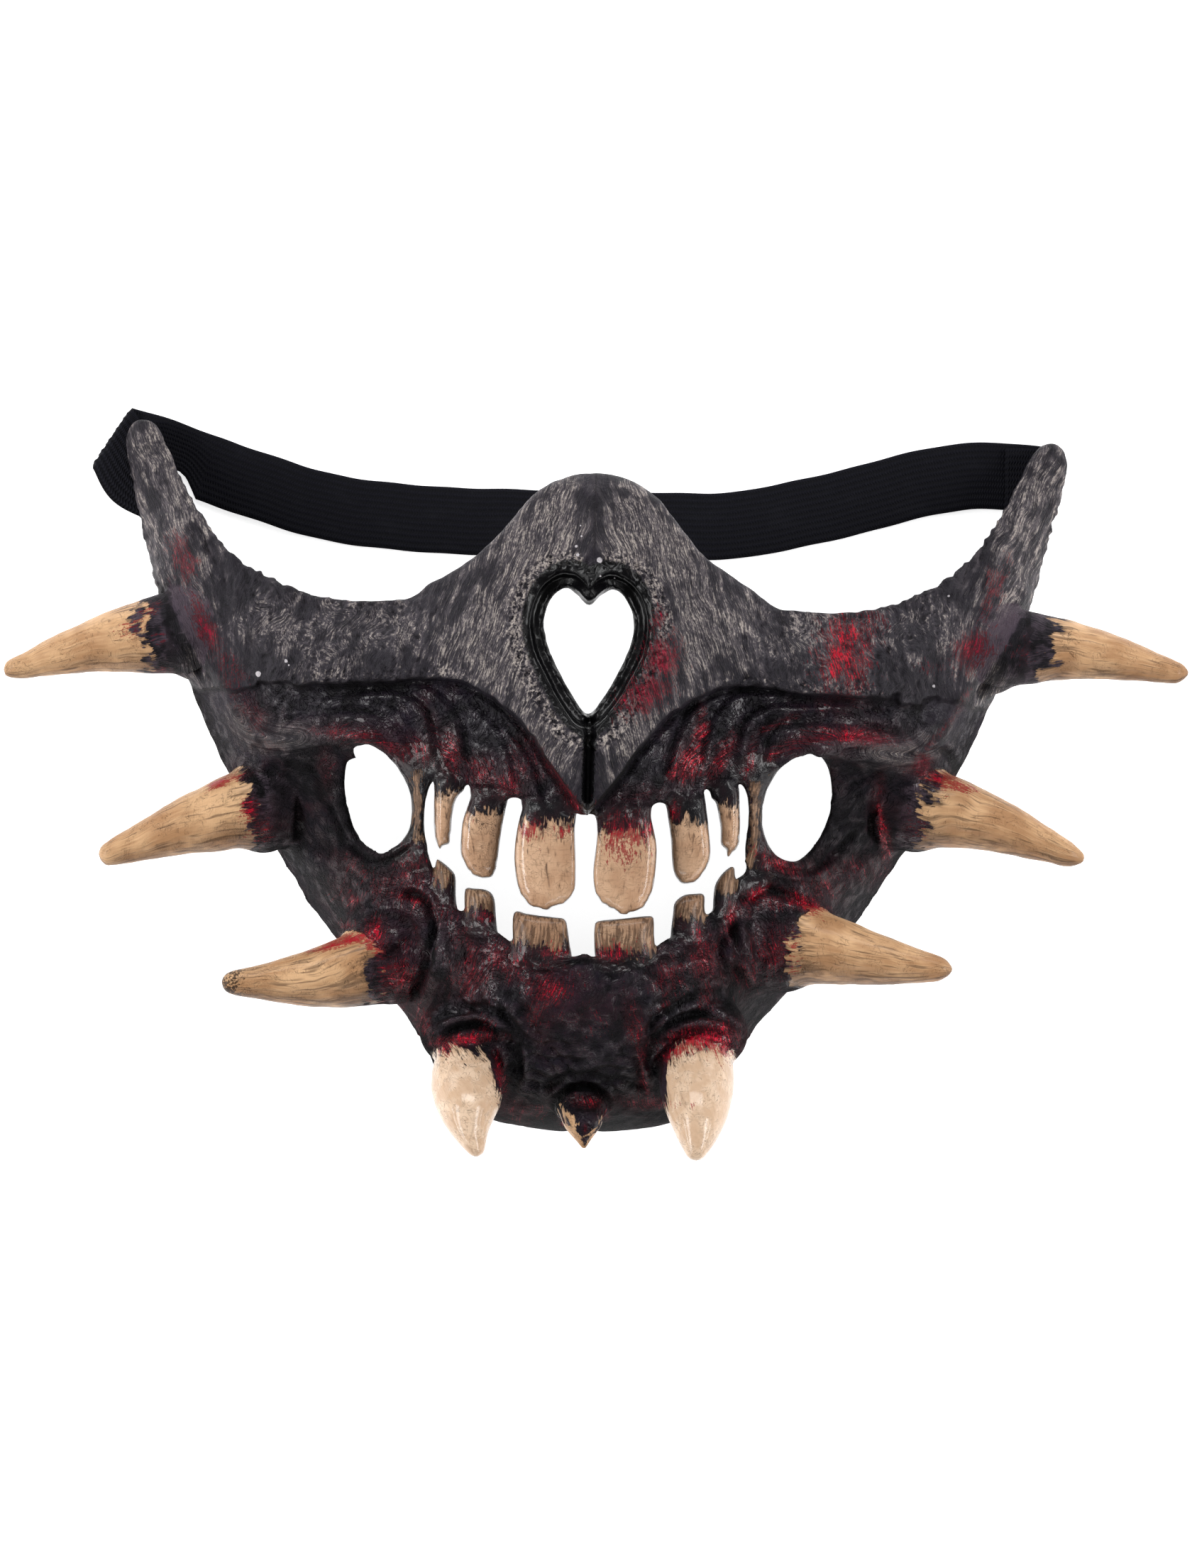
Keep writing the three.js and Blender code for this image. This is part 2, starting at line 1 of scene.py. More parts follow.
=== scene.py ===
"""Looks of a fanged half mask with its elastic strap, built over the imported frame.

The shape code works in millimetres, in "view space": (U, V) is where a line of sight from the eye, 1 m above the
ground, meets the ground, and Z is the true height. place() turns that into the true position.
"""
import bpy
import math
import numpy as np
import openvdb as vdb
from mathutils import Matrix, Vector


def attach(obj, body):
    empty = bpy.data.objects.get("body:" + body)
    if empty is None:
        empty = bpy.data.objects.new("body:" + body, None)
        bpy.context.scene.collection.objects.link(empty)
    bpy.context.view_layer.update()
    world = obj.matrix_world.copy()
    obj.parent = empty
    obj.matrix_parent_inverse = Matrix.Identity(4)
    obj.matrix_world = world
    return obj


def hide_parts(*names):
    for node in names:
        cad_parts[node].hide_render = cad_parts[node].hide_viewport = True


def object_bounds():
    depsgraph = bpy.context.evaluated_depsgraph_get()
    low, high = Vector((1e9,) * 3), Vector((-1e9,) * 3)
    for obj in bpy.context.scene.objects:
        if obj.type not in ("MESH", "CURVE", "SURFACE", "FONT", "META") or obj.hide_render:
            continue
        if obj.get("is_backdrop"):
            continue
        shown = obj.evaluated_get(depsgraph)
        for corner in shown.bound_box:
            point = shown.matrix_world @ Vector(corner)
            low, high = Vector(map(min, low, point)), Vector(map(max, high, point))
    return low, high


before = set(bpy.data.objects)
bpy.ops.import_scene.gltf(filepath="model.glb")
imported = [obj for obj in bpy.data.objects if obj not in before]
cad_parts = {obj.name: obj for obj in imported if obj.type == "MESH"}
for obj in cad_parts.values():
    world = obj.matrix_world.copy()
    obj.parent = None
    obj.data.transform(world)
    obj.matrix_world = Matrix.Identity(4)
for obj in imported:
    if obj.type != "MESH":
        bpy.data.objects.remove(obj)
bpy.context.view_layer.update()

# ------------------------------------------------------------------ camera
EYE_X, EYE_H = 1.81, 1000.0
SHIFT = np.array([-1.066, -1.4911, 0.0])          # own frame to row frame
cam_data = bpy.data.cameras.new("camera")
cam_data.sensor_width = 36.0
cam_data.lens = 36.0 * 6250.0 / 2210.0
cam = bpy.data.objects.new("camera", cam_data)
bpy.context.scene.collection.objects.link(cam)
cam.location = ((EYE_X + SHIFT[0]) / 1000, SHIFT[1] / 1000, EYE_H / 1000)
cam.rotation_euler = (0, 0, math.radians(1.5))
cam_data.clip_start, cam_data.clip_end = 0.05, 20
bpy.context.scene.camera = cam

# ------------------------------------------------------------------ small maths
def sstep(a, b, x):
    t = np.clip((x - a) / (b - a), 0, 1)
    return t * t * (3 - 2 * t)


def mix(a, b, t):
    return a + (b - a) * t


def gauss(x, s):
    return np.exp(-(x / s) ** 2)


def smax(a, b, k):
    h = np.maximum(k - np.abs(a - b), 0) / k
    return np.maximum(a, b) + h * h * k * 0.25


def smin(a, b, k):
    return -smax(-a, -b, k)


def table(rows, x):
    """Smooth curve through rows of (x, y), without overshoot."""
    r = np.asarray(rows, float)
    xs, ys = r[:, 0], r[:, 1]
    h, d = np.diff(xs), np.diff(ys) / np.diff(xs)
    m = np.zeros(len(xs))
    for i in range(1, len(xs) - 1):
        if d[i - 1] * d[i] > 0:
            w1, w2 = 2 * h[i] + h[i - 1], h[i] + 2 * h[i - 1]
            m[i] = (w1 + w2) / (w1 / d[i - 1] + w2 / d[i])
    m[0], m[-1] = d[0], d[-1]
    x = np.clip(x, xs[0], xs[-1])
    i = np.clip(np.searchsorted(xs, x, side="right") - 1, 0, len(xs) - 2)
    t = (x - xs[i]) / h[i]
    return ((2 * t**3 - 3 * t**2 + 1) * ys[i] + (t**3 - 2 * t**2 + t) * h[i] * m[i]
            + (-2 * t**3 + 3 * t**2) * ys[i + 1] + (t**3 - t**2) * h[i] * m[i + 1])


def curve(pts, n=8, closed=False):
    p = np.asarray(pts, float)
    out, N = [], len(p)
    for i in range(N if closed else N - 1):
        if closed:
            a, b, c, d = p[(i - 1) % N], p[i], p[(i + 1) % N], p[(i + 2) % N]
        else:
            b, c = p[i], p[i + 1]
            a = p[i - 1] if i > 0 else 2 * b - c
            d = p[i + 2] if i + 2 < N else 2 * c - b
        for k in range(n):
            t = k / n
            out.append(0.5 * ((2 * b) + (-a + c) * t + (2 * a - 5 * b + 4 * c - d) * t * t + (-a + 3 * b - 3 * c + d) * t**3))
    if not closed:
        out.append(p[-1])
    return np.array(out)


def perlin(x, y, seed):
    g = np.random.RandomState(seed).uniform(0, 2 * np.pi, (128, 128))
    gx, gy = np.cos(g), np.sin(g)
    xi, yi = np.floor(x).astype(int), np.floor(y).astype(int)
    fx, fy = x - xi, y - yi
    u, v = fx**3 * (fx * (fx * 6 - 15) + 10), fy**3 * (fy * (fy * 6 - 15) + 10)

    def corner(i, j):
        a, b = (xi + i) & 127, (yi + j) & 127
        return gx[a, b] * (fx - i) + gy[a, b] * (fy - j)
    return 1.5 * mix(mix(corner(0, 0), corner(1, 0), u), mix(corner(0, 1), corner(1, 1), u), v)


def fbm(x, y, size, seed, octaves=3, keep=0.5):
    s, a = 0, 1
    for k in range(octaves):
        s = s + a * perlin(x / size * 2**k + 17.3 * k, y / size * 2**k - 9.1 * k, seed + k)
        a *= keep
    return s


# ------------------------------------------------------------------ the grid of view space
S = 0.5
us, vs, zs = np.arange(-137, 139, S), np.arange(-89, 86, S), np.arange(-1.5, 88.5, S)
U, V = np.meshgrid(us, vs, indexing="ij")
A = np.abs(U)


def near(line, closed=False, reach=30.0):
    """Distance to a line on the grid, share of its length, and side (+1 to the left of travel), up to reach."""
    P = np.asarray(line, float)
    Q = np.roll(P, -1, 0) if closed else P[1:]
    P = P if closed else P[:-1]
    D, T, W = np.full(U.shape, float(reach)), np.zeros(U.shape), np.ones(U.shape)
    L = np.hypot(*(Q - P).T)
    cum = np.concatenate([[0], np.cumsum(L)])
    for i in range(len(P)):
        if L[i] < 1e-9:
            continue
        lo, hi = np.minimum(P[i], Q[i]) - reach, np.maximum(P[i], Q[i]) + reach
        a0, a1 = np.searchsorted(us, (lo[0], hi[0]))
        b0, b1 = np.searchsorted(vs, (lo[1], hi[1]))
        if a1 <= a0 or b1 <= b0:
            continue
        s = (slice(a0, a1), slice(b0, b1))
        x, y = U[s] - P[i, 0], V[s] - P[i, 1]
        ex, ey = Q[i] - P[i]
        t = np.clip((x * ex + y * ey) / L[i] ** 2, 0, 1)
        d = np.hypot(x - t * ex, y - t * ey)
        m = d < D[s]
        D[s] = np.where(m, d, D[s])
        T[s] = np.where(m, (cum[i] + t * L[i]) / cum[-1], T[s])
        W[s] = np.where(m, np.where(ex * y - ey * x >= 0, 1.0, -1.0), W[s])
    return D, T, W


def within(poly):
    c = np.zeros(U.shape, bool)
    P = np.asarray(poly)
    for (x1, y1), (x2, y2) in zip(P, np.roll(P, -1, 0)):
        if y1 != y2:
            c ^= ((y1 > V) != (y2 > V)) & (U < (x2 - x1) * (V - y1) / (y2 - y1) + x1)
    return c


def outline_field(poly, reach=30.0):
    """Distance to a closed outline, negative inside."""
    d = near(poly, True, reach)[0]
    return np.where(within(poly), -d, d)


def sample(field, u, v):
    """Bilinear value of a grid map at view points."""
    x = np.clip((u - us[0]) / S, 0, len(us) - 1.001)
    y = np.clip((v - vs[0]) / S, 0, len(vs) - 1.001)
    i, j = x.astype(int), y.astype(int)
    f, g = x - i, y - j
    return ((field[i, j] * (1 - f) + field[i + 1, j] * f) * (1 - g)
            + (field[i, j + 1] * (1 - f) + field[i + 1, j + 1] * f) * g)


def place(u, v, z):
    k = (EYE_H - z) / EYE_H
    return EYE_X + (u - EYE_X) * k, v * k, z


# Points of the finer features were read off enlarged views of the front; each view has its own corner and scale.
COS, SIN = math.cos(math.radians(1.5)), math.sin(math.radians(1.5))


def seen(x0, y0, scale):
    def to_view(*pts):
        p = np.asarray(pts, float)
        dx, dy = p[:, 0] / scale + x0 - 840, 1105 - (p[:, 1] / scale + y0)
        return np.stack([EYE_X + 0.16 * (dx * COS - dy * SIN), 0.16 * (dx * SIN + dy * COS)], 1)
    return to_view


cheek_l = seen(230, 780, 2.489)      # left cheek
cheek_r = seen(820, 780, 2.489)      # right cheek
mouth_c = seen(560, 1040, 2.53)      # mouth and chin
spike_l = seen(280, 1080, 3.733)     # lower left spike
spike_r = seen(1000, 1180, 4.3556)   # lower right spike
spike_u = seen(0, 800, 3.563)        # upper and middle left spikes

# ------------------------------------------------------------------ outline and relief, as in the solids
BROW = [[0, 70.1], [5, 69.6], [10, 67.6], [14.5, 64.4], [19.5, 58.2], [25, 52], [31, 47.6], [36.5, 44.3], [41, 41], [46, 40.2],
        [54, 39.9], [62, 40.8], [70, 43.2], [78, 47.2], [84.5, 52.6], [89, 58.6], [92.8, 65], [96, 72], [98.6, 77]]
HORN_TIP = [[98.6, 77], [100.4, 79], [103, 79.5], [105.2, 78], [106.2, 75]]
JAW = [[106.2, 75], [105.2, 68], [103, 60], [100.6, 50], [98.2, 41], [90.6, 21], [82, 2], [70.5, -15.5], [59, -33], [45, -47.5],
       [36.5, -58], [32.3, -66], [27, -72.5], [20, -76.2], [10, -78], [0, -78.4]]
MIDDLE = [[-79, 12], [-77.6, 24], [-75, 36], [-71, 47], [-66, 56], [-58, 62.5], [-50, 66], [-42, 68], [-30, 70], [-18, 72.5],
          [-8, 75], [0, 77], [10, 78.5], [25, 78], [40, 75], [50, 71.5], [60, 67], [66, 63.5], [70.5, 59], [80, 52]]
RIM = [[-66, 3.5], [-57, 4], [-45, 6], [-25, 9], [0, 11.5], [30, 9], [45, 6], [60, 5], [80, 5]]
FALL_CHEEK = [[0, 0], [0.155, 0.1], [0.33, 0.235], [0.55, 0.355], [0.77, 0.53], [0.885, 0.7], [0.97, 0.9], [1, 1], [1.2, 1.3]]
PLATE_EDGE = [[0, -6.9], [3, -3.5], [8, 3], [12, 9], [15.5, 13.3], [20, 17.5], [25, 20.3], [30, 22.5], [36, 22.8], [48, 21.6],
              [62, 21], [76, 20], [90, 20]]
PLATE_RISE = [[0, 6], [20, 5.5], [40, 4.2], [60, 3.2], [76, 1.8], [86, 0]]
CHEEK_RIDGE = [[97, 45], [88, 30], [82, 20], [78, 12], [72, 8.5], [60, 9], [52, 9.5]]
NOSE = [[-0.8, 40.2], [2, 42.6], [4.6, 43.9], [7.6, 41.6], [9.4, 36.5], [8.6, 31], [6, 25], [3, 19.6], [-0.6, 15.8],
        [-4.4, 20.4], [-7.4, 25.6], [-9.9, 31], [-10.9, 36.8], [-9.2, 41.8], [-6.2, 44], [-3.6, 42.6]]
WALL, EAR_CLEAR, EAR_THICK = 2.6, 2.95, 5.5

brow, tip, jaw = curve(BROW, 4), curve(HORN_TIP, 4), curve(JAW, 6)
half = np.vstack([brow, tip[1:], jaw[1:]])
whole = np.vstack([half, (half[::-1] * [-1, 1])[1:-1]])
jawline = np.vstack([(jaw * [-1, 1]), jaw[::-1][1:]])
edge_all = outline_field(whole) + 0.22 * fbm(U, V, 5, 3) + 0.55 * fbm(U, V, 1.9, 4, 2) * sstep(52, 66, A) * sstep(34, 40, V) * (1 - sstep(66, 72, V))
edge_jaw = outline_field(np.vstack([jawline, [[124, 74], [122, 120], [-122, 120], [-124, 74]]]))


def near_both(pts, n=6, reach=30.0):
    c = curve(pts, n)
    return np.minimum(near(c, reach=reach)[0], near(c * [-1, 1], reach=reach)[0])


brow_d = near_both(BROW, 3, 16)
ridge_d = near_both(CHEEK_RIDGE, 4, 14)
nose_line = curve(NOSE, 4, True)
nose_e = outline_field(nose_line, 20)
half_rows = sorted((r[1], r[0]) for r in jaw[::3])
wide = np.maximum(table([r for i, r in enumerate(half_rows) if i == 0 or r[0] > half_rows[i - 1][0] + 0.4], V), 33)
share = A / wide
chin = sstep(20, 52, -V)
fall = mix(table(FALL_CHEEK, share), 0.15 * share**2 + 0.85 * share**4, chin)
rim = table(RIM, V)
bulk = (table(MIDDLE, V) - rim) * (1 - fall) * (1 - 0.62 * sstep(48, 78, V) * sstep(40, 85, A))
face = rim + bulk - 7 * (1 - sstep(0, 15, brow_d)) * sstep(26, 46, A) * (1 - sstep(80, 95, A))

slope = (table(PLATE_EDGE, A + 1) - table(PLATE_EDGE, np.maximum(A - 1, 0))) / 2
plate_d = (V - table(PLATE_EDGE, A)) / np.hypot(1, slope) + 0.35 * fbm(U, V, 4, 11) * sstep(4, 14, A) + 2.4 * fbm(U, V, 6, 13) * sstep(60, 74, A)
rise = table(PLATE_RISE, A)
socket = np.hypot((A - 56) / 19, (V + 5) / 15)

F = face + rise * sstep(-0.8, 0.9, plate_d)
F = F + 2.2 * gauss(ridge_d, 4.2)
F = F - 5 * (1 - sstep(0.62, 1.05, socket))
F = F - 6 * (1 - sstep(0.6, 5.2, np.abs(nose_e)))
# hanging lump above the nose opening, and the rolled flanks of the groove below it
F = F + 3.4 * gauss(np.hypot((U + 0.8) / 1.1, V - 43.4), 2.3)
F = F + 0.8 * gauss(np.abs(U + 0.2) - 3.4, 1.1) * sstep(-6, 0, V) * (1 - sstep(12, 18, V))
F = F - 3.4 * gauss(U, 1.15) * sstep(-9, -6.5, V) * (1 - sstep(15.5, 17.5, V))
F = np.maximum(F, rim)

gx, gy = np.gradient(face, S)
wall = np.minimum(WALL * np.sqrt(1 + gx**2 + gy**2), 8.5)
horn = sstep(40, 52, V) * sstep(78, 90, A)
G = face - 4.8 * (1 - sstep(2, 9, np.abs(nose_e))) - 4.5 * (1 - sstep(0.75, 1.25, socket)) - mix(wall, EAR_THICK, horn)
G = np.maximum(G, mix(-3.0, EAR_CLEAR, sstep(52, 58, V) * sstep(75, 85, A)))
gx, gy = np.gradient(F, S)
kF = 1 / np.sqrt(1 + gx**2 + gy**2)
gx, gy = np.gradient(G, S)
kG = 1 / np.sqrt(1 + gx**2 + gy**2)
edge_in = edge_jaw - mix(-WALL, 9, sstep(40, 54, V))

# ------------------------------------------------------------------ openings
hole_l = curve(cheek_l((672, 680), (710, 668), (760, 690), (810, 735), (845, 790), (868, 850), (872, 910), (865, 960), (840, 1005),
                       (800, 1040), (760, 1053), (735, 1045), (700, 1015), (665, 950), (645, 880), (638, 810), (643, 740), (662, 722),
                       (680, 716), (668, 702)), 4, True)
hole_r = curve(cheek_r((812, 700), (838, 712), (862, 750), (874, 805), (875, 860), (866, 920), (845, 975), (810, 1030), (770, 1072),
                       (742, 1082), (705, 1074), (672, 1048), (645, 1000), (633, 945), (635, 890), (650, 830), (680, 775), (720, 735),
                       (765, 710)), 4, True)
mouth_line = curve(mouth_c((129, 150), (134, 139), (142, 160), (150, 185), (190, 195), (232, 190), (240, 174), (250, 167), (264, 172), (272, 200),
                           (325, 225), (380, 232), (396, 218), (415, 212), (446, 220), (452, 245), (540, 262), (625, 268), (645, 272), (672, 284),
                           (700, 274), (716, 282), (800, 270), (890, 258), (905, 242), (932, 230), (956, 238), (975, 245), (1035, 235),
                           (1085, 215), (1093, 192), (1101, 183), (1113, 190), (1124, 218), (1165, 225), (1208, 205), (1213, 170),
                           (1222, 163), (1240, 185), (1252, 240), (1252, 300), (1243, 360), (1240, 430), (1244, 460), (1236, 486),
                           (1206, 508), (1196, 560), (1150, 600), (1126, 616), (1096, 642), (1080, 680), (1020, 710), (974, 712),
                           (930, 738), (912, 760), (810, 790), (712, 782), (665, 778), (618, 782), (520, 772), (420, 745), (405, 728),
                           (356, 692), (335, 670), (250, 640), (238, 622), (209, 612), (195, 590), (150, 500), (132, 478), (115, 430),
                           (100, 350), (95, 290), (100, 230), (112, 180)), 3, True)
edge_hl, edge_hr, edge_m = outline_field(hole_l, 12), outline_field(hole_r, 12), outline_field(mouth_line, 12)
holes = np.minimum(np.minimum(edge_hl, edge_hr), np.minimum(edge_m, nose_e)) + 0.12 * fbm(U, V, 2.5, 5)

# ------------------------------------------------------------------ spikes: view half height h against U, axis line in V and Z
SPIKES = {   # name: (tip U, rows of (U, centre V, half height), root Z, tip Z, root U)
    "UL": (-132.5, [(-132, 22.4, 1.45), (-128, 23.3, 2.9), (-124, 24.85, 3.85), (-120, 26.15, 4.75), (-116, 27.3, 5.4), (-112, 28.55, 6.25),
                    (-108, 29.45, 7.05), (-104, 30.25, 7.75), (-100, 30.9, 8.6), (-94, 32, 9.4), (-84, 33.5, 10.2)], 18, 21, -84),
    "UR": (134.7, [(132, 28.6, 2.5), (128, 29.45, 3.25), (124, 30.4, 4), (120, 31.2, 4.8), (116, 32, 5.4), (112, 32.5, 6), (108, 33.05, 6.65),
                   (104, 33.2, 7.2), (100, 33.2, 8), (94, 33.6, 8.9), (84, 34, 10)], 18, 21, 84),
    "ML": (-110, [(-108, -18.6, 2.7), (-104, -16.95, 3.75), (-100, -15.35, 4.65), (-96, -13.6, 5.6), (-92, -12, 6.5), (-88, -10.7, 7.2),
                  (-84, -9.4, 8.2), (-78, -7.6, 8.9), (-66, -5, 9.6)], 22, 27, -66),
    "MR": (112.5, [(112, -13.75, 1.05), (108, -12.6, 3.2), (104, -11, 4), (100, -9.45, 4.95), (96, -7.9, 5.7), (92, -6.6, 6.4), (88, -5.45, 7.05),
                   (84, -4.45, 7.85), (78, -3.6, 8.6), (66, -2, 9.6)], 22, 27, 66),
    "LL": (-81.4, [(-80, -46.95, 2.25), (-76, -46.8, 3.3), (-72, -46.55, 4.05), (-68, -46.15, 5.05), (-64, -45.75, 5.95), (-60, -45.1, 6.8),
                   (-56, -44.2, 7.7), (-50, -42.8, 8.7), (-38, -40, 9.5)], 34, 48, -38),
    "LR": (83.2, [(80, -39.6, 2.9), (76, -39.15, 3.75), (72, -38.6, 4.6), (68, -38.05, 5.55), (64, -37.4, 6.3), (60, -36.6, 7.1),
                  (54, -35.6, 8.2), (40, -34.2, 9.4)], 34, 48, 40),
}


def spike_parts(name, u, v, z):
    """Signed distance to a spike, mm inward from its tip, and mm across its axis."""
    tip_u, rows, z_root, z_tip, u_root = SPIKES[name]
    sgn = 1 if tip_u > 0 else -1
    s = (tip_u - u) * sgn                                     # mm from the tip
    r = np.array(sorted((abs(tip_u - a), b, c) for a, b, c in rows))
    vc = table(r[:, :2], s)
    h2 = table(np.vstack([[0, 0], np.stack([r[:, 0], r[:, 2] ** 2], 1)]), s)
    zt = (z_tip - z_root) / abs(tip_u - u_root)
    zc = z_tip - s * zt
    dv = (table(r[:, :2], s + 0.5) - table(r[:, :2], s - 0.5))
    cv, cz = 1 / np.sqrt(1 + dv**2), 1 / math.sqrt(1 + zt**2)
    rad = np.sqrt(np.maximum(h2, 0)) * cv
    d = np.hypot((v - vc) * cv, (z - zc) * cz) - rad
    d = np.where(s < 0, np.sqrt(np.maximum(d, 0) ** 2 + s * s), d)
    return d, s, (v - vc) * cv, (z - zc) * cz


# fangs and the small chin spike: rows of (V, left U, right U), their axis in Z
def rows_from(*pts):
    out = []
    for y, x0, x1 in pts:
        a, b = mouth_c((x0, y), (x1, y))
        out.append(((a[1] + b[1]) / 2, (a[0] + b[0]) / 2, (b[0] - a[0]) / 2))
    return sorted(out)


FANGS = {   # name: (rows, tip V, root Z, tip Z, root V)
    "FL": (rows_from((1040, 172, 318), (1100, 148, 345), (1160, 131, 365), (1200, 123, 374), (1250, 121, 375), (1300, 131, 369), (1350, 151, 347),
                     (1400, 181, 326), (1450, 222, 315), (1478, 249, 307), (1486, 258, 300)), -84.9, 47, 70, -57),
    "FR": (rows_from((1040, 958, 1160), (1100, 940, 1186), (1150, 932, 1196), (1200, 930, 1200), (1250, 935, 1199), (1300, 946, 1190),
                     (1350, 962, 1177), (1400, 984, 1156), (1450, 1008, 1128), (1480, 1025, 1106), (1500, 1040, 1088)), -86.0, 47, 70, -57),
    "CS": (rows_from((1290, 583, 737), (1330, 578, 740), (1360, 584, 735), (1390, 597, 722), (1415, 617, 703), (1440, 640, 686), (1460, 656, 674)),
           -83.6, 45, 57, -68),
}


def fang_parts(name, u, v, z):
    rows, _, z_root, z_tip, v_root = FANGS[name]
    r = np.array(rows)
    tip_v = r[0, 0] - 0.45
    s = v - tip_v                                             # mm up from the tip
    uc = table(r[:, :2], v)
    h2 = table(np.vstack([[tip_v, 0], np.stack([r[:, 0], r[:, 2] ** 2], 1)]), v)
    zt = (z_tip - z_root) / (v_root - tip_v)
    zc = z_tip - s * zt
    cz = 1 / math.sqrt(1 + zt**2)
    rad = np.sqrt(np.maximum(h2, 0))
    # the far side of the root sinks into the chin, so the fang keeps one thickness there
    d = np.hypot(u - uc, (z - zc) * cz) - rad
    d = d * 0.9
    d = np.where(s < 0, np.sqrt(np.maximum(d, 0) ** 2 + s * s), d)
    return d, s, u - uc, (z - zc) * cz


HOODS = [((-42.5, -38, 34), (12.5, 12.5, 12)), ((44, -33.5, 34), (12.5, 12.5, 12)), ((-25.5, -56.5, 47), (11, 9, 10)),
         ((26.5, -55.5, 47), (11, 9, 10)), ((-73, -7, 21), (9, 10.5, 9.5)), ((74, -3.5, 21), (9, 10, 9.5)),
         ((-89, 31.5, 16), (8.5, 10.5, 9.5)), ((90, 33, 16), (8.5, 10.5, 9.5)), ((0.3, -72, 46), (6.5, 5, 8))]

# ------------------------------------------------------------------ teeth: outline, kind, where bone colour starts (V)
TEETH = {
    "T1L": (mouth_c((452, 210), (448, 245), (432, 300), (421, 365), (417, 430), (424, 503), (443, 566), (480, 600), (520, 613), (566, 603),
                    (607, 580), (632, 542), (636, 480), (635, 400), (633, 330), (637, 280), (640, 240), (600, 205), (520, 190)), "up", 305),
    "T1R": (mouth_c((706, 250), (711, 300), (712, 350), (704, 420), (698, 480), (704, 543), (724, 586), (764, 614), (805, 628), (854, 618),
                    (889, 590), (912, 534), (922, 460), (925, 390), (915, 330), (905, 285), (902, 240), (870, 205), (790, 200)), "up", 325),
    "T2L": (mouth_c((268, 170), (262, 210), (246, 255), (232, 300), (226, 360), (226, 410), (242, 455), (272, 490), (310, 500), (340, 494),
                    (355, 460), (362, 400), (372, 330), (383, 270), (390, 215), (360, 180), (310, 165)), "up", 268),
    "T2R": (mouth_c((960, 220), (967, 300), (975, 360), (979, 430), (986, 485), (1010, 515), (1045, 521), (1075, 502), (1105, 458), (1117, 410),
                    (1112, 340), (1105, 275), (1092, 205), (1050, 175), (990, 180)), "up", 285),
    "T3L": (mouth_c((136, 150), (131, 200), (130, 260), (131, 340), (140, 375), (152, 393), (165, 385), (185, 375), (192, 340), (195, 285),
                    (207, 225), (230, 180), (200, 135), (160, 130)), "up", 200),
    "T3R": (mouth_c((1118, 170), (1131, 205), (1142, 260), (1152, 320), (1153, 380), (1168, 400), (1180, 425), (1195, 412), (1215, 390),
                    (1222, 330), (1222, 260), (1215, 180), (1190, 145), (1150, 140)), "up", 222),
    "L1L": (mouth_c((415, 625), (460, 627), (500, 633), (560, 640), (598, 648), (608, 690), (615, 740), (622, 790), (600, 830), (430, 810), (414, 740)), "low", 745),
    "L1R": (mouth_c((708, 790), (702, 725), (704, 670), (718, 653), (800, 645), (900, 635), (914, 650), (915, 700), (916, 750), (890, 800), (740, 830)), "low", 762),
    "L2L": (mouth_c((242, 540), (270, 537), (310, 540), (335, 553), (347, 580), (351, 630), (354, 700), (330, 740), (260, 700), (242, 625)), "low", 632),
    "L2R": (mouth_c((984, 620), (986, 595), (1000, 575), (1025, 560), (1060, 556), (1093, 558), (1095, 600), (1094, 650), (1070, 730), (1000, 760), (975, 715)), "low", 640),
    "L3L": (mouth_c((140, 436), (152, 437), (190, 468), (207, 495), (208, 560), (210, 620), (180, 640), (140, 560), (134, 480)), "low", 530),
    "L3R": (mouth_c((1200, 460), (1170, 473), (1143, 505), (1130, 540), (1127, 615), (1150, 650), (1195, 600), (1202, 520)), "low", 545),
}
for k, (pts, kind, y) in list(TEETH.items()):
    e = outline_field(curve(pts, 4, True), 8)
    low_v = curve(pts, 4, True)[:, 1].min()
    rag = 0.50 if k[:2] == "T1" else 0.25
    e = e + rag * (1 - sstep(2.5, 5.5, V - low_v)) * (kind == "up") * (0.35 + fbm(U, V, 1.9, 140 + len(k), 2))
    TEETH[k] = (e, kind, mouth_c((640, y))[0, 1])
face_s = face - 5 * (1 - sstep(0.62, 1.05, socket)) * 0.5


def tooth_field(name):
    """Outline distance and front surface of a tooth: it is flatter across than the face it stands in."""
    e, kind, _ = TEETH[name]
    mid_u = float(U[e < 0].mean())
    base = mix(face_s, sample(face_s, np.full(U.shape, mid_u), V), {"1": 0.60, "2": 0.50, "3": 0.25}[name[1]])
    deep = np.maximum(-e, 0)
    crown = 2.2 * np.sqrt(1 - (1 - np.minimum(deep / {"1": 4.4, "2": 3.4, "3": 2.0}[name[1]], 1)) ** 2)
    return e, base - 1.6 + crown + (0.5 if kind == "up" else -0.2)


# ------------------------------------------------------------------ the field: negative inside the casting
nz, nu, nv = len(zs), len(us), len(vs)
field = np.full((nz, nu, nv), 3.0, np.float32)
F32, G32, E32 = F.astype(np.float32), G.astype(np.float32), edge_all.astype(np.float32)
kF32, kG32, Ein32, H32 = kF.astype(np.float32), kG.astype(np.float32), edge_in.astype(np.float32), holes.astype(np.float32)
for k, z in enumerate(zs):
    field[k] = np.clip(smax((np.float32(z) - F32) * kF32, E32, 1.8), -3.5, 3.5)


def box(u0, u1, v0, v1, z0, z1):
    a, b, c = np.searchsorted(us, (u0, u1)), np.searchsorted(vs, (v0, v1)), np.searchsorted(zs, (z0, z1))
    sl = (slice(*c), slice(*a), slice(*b))
    Z_, U_, V_ = np.meshgrid(zs[sl[0]], us[sl[1]], vs[sl[2]], indexing="ij")
    return sl, Z_, U_, V_


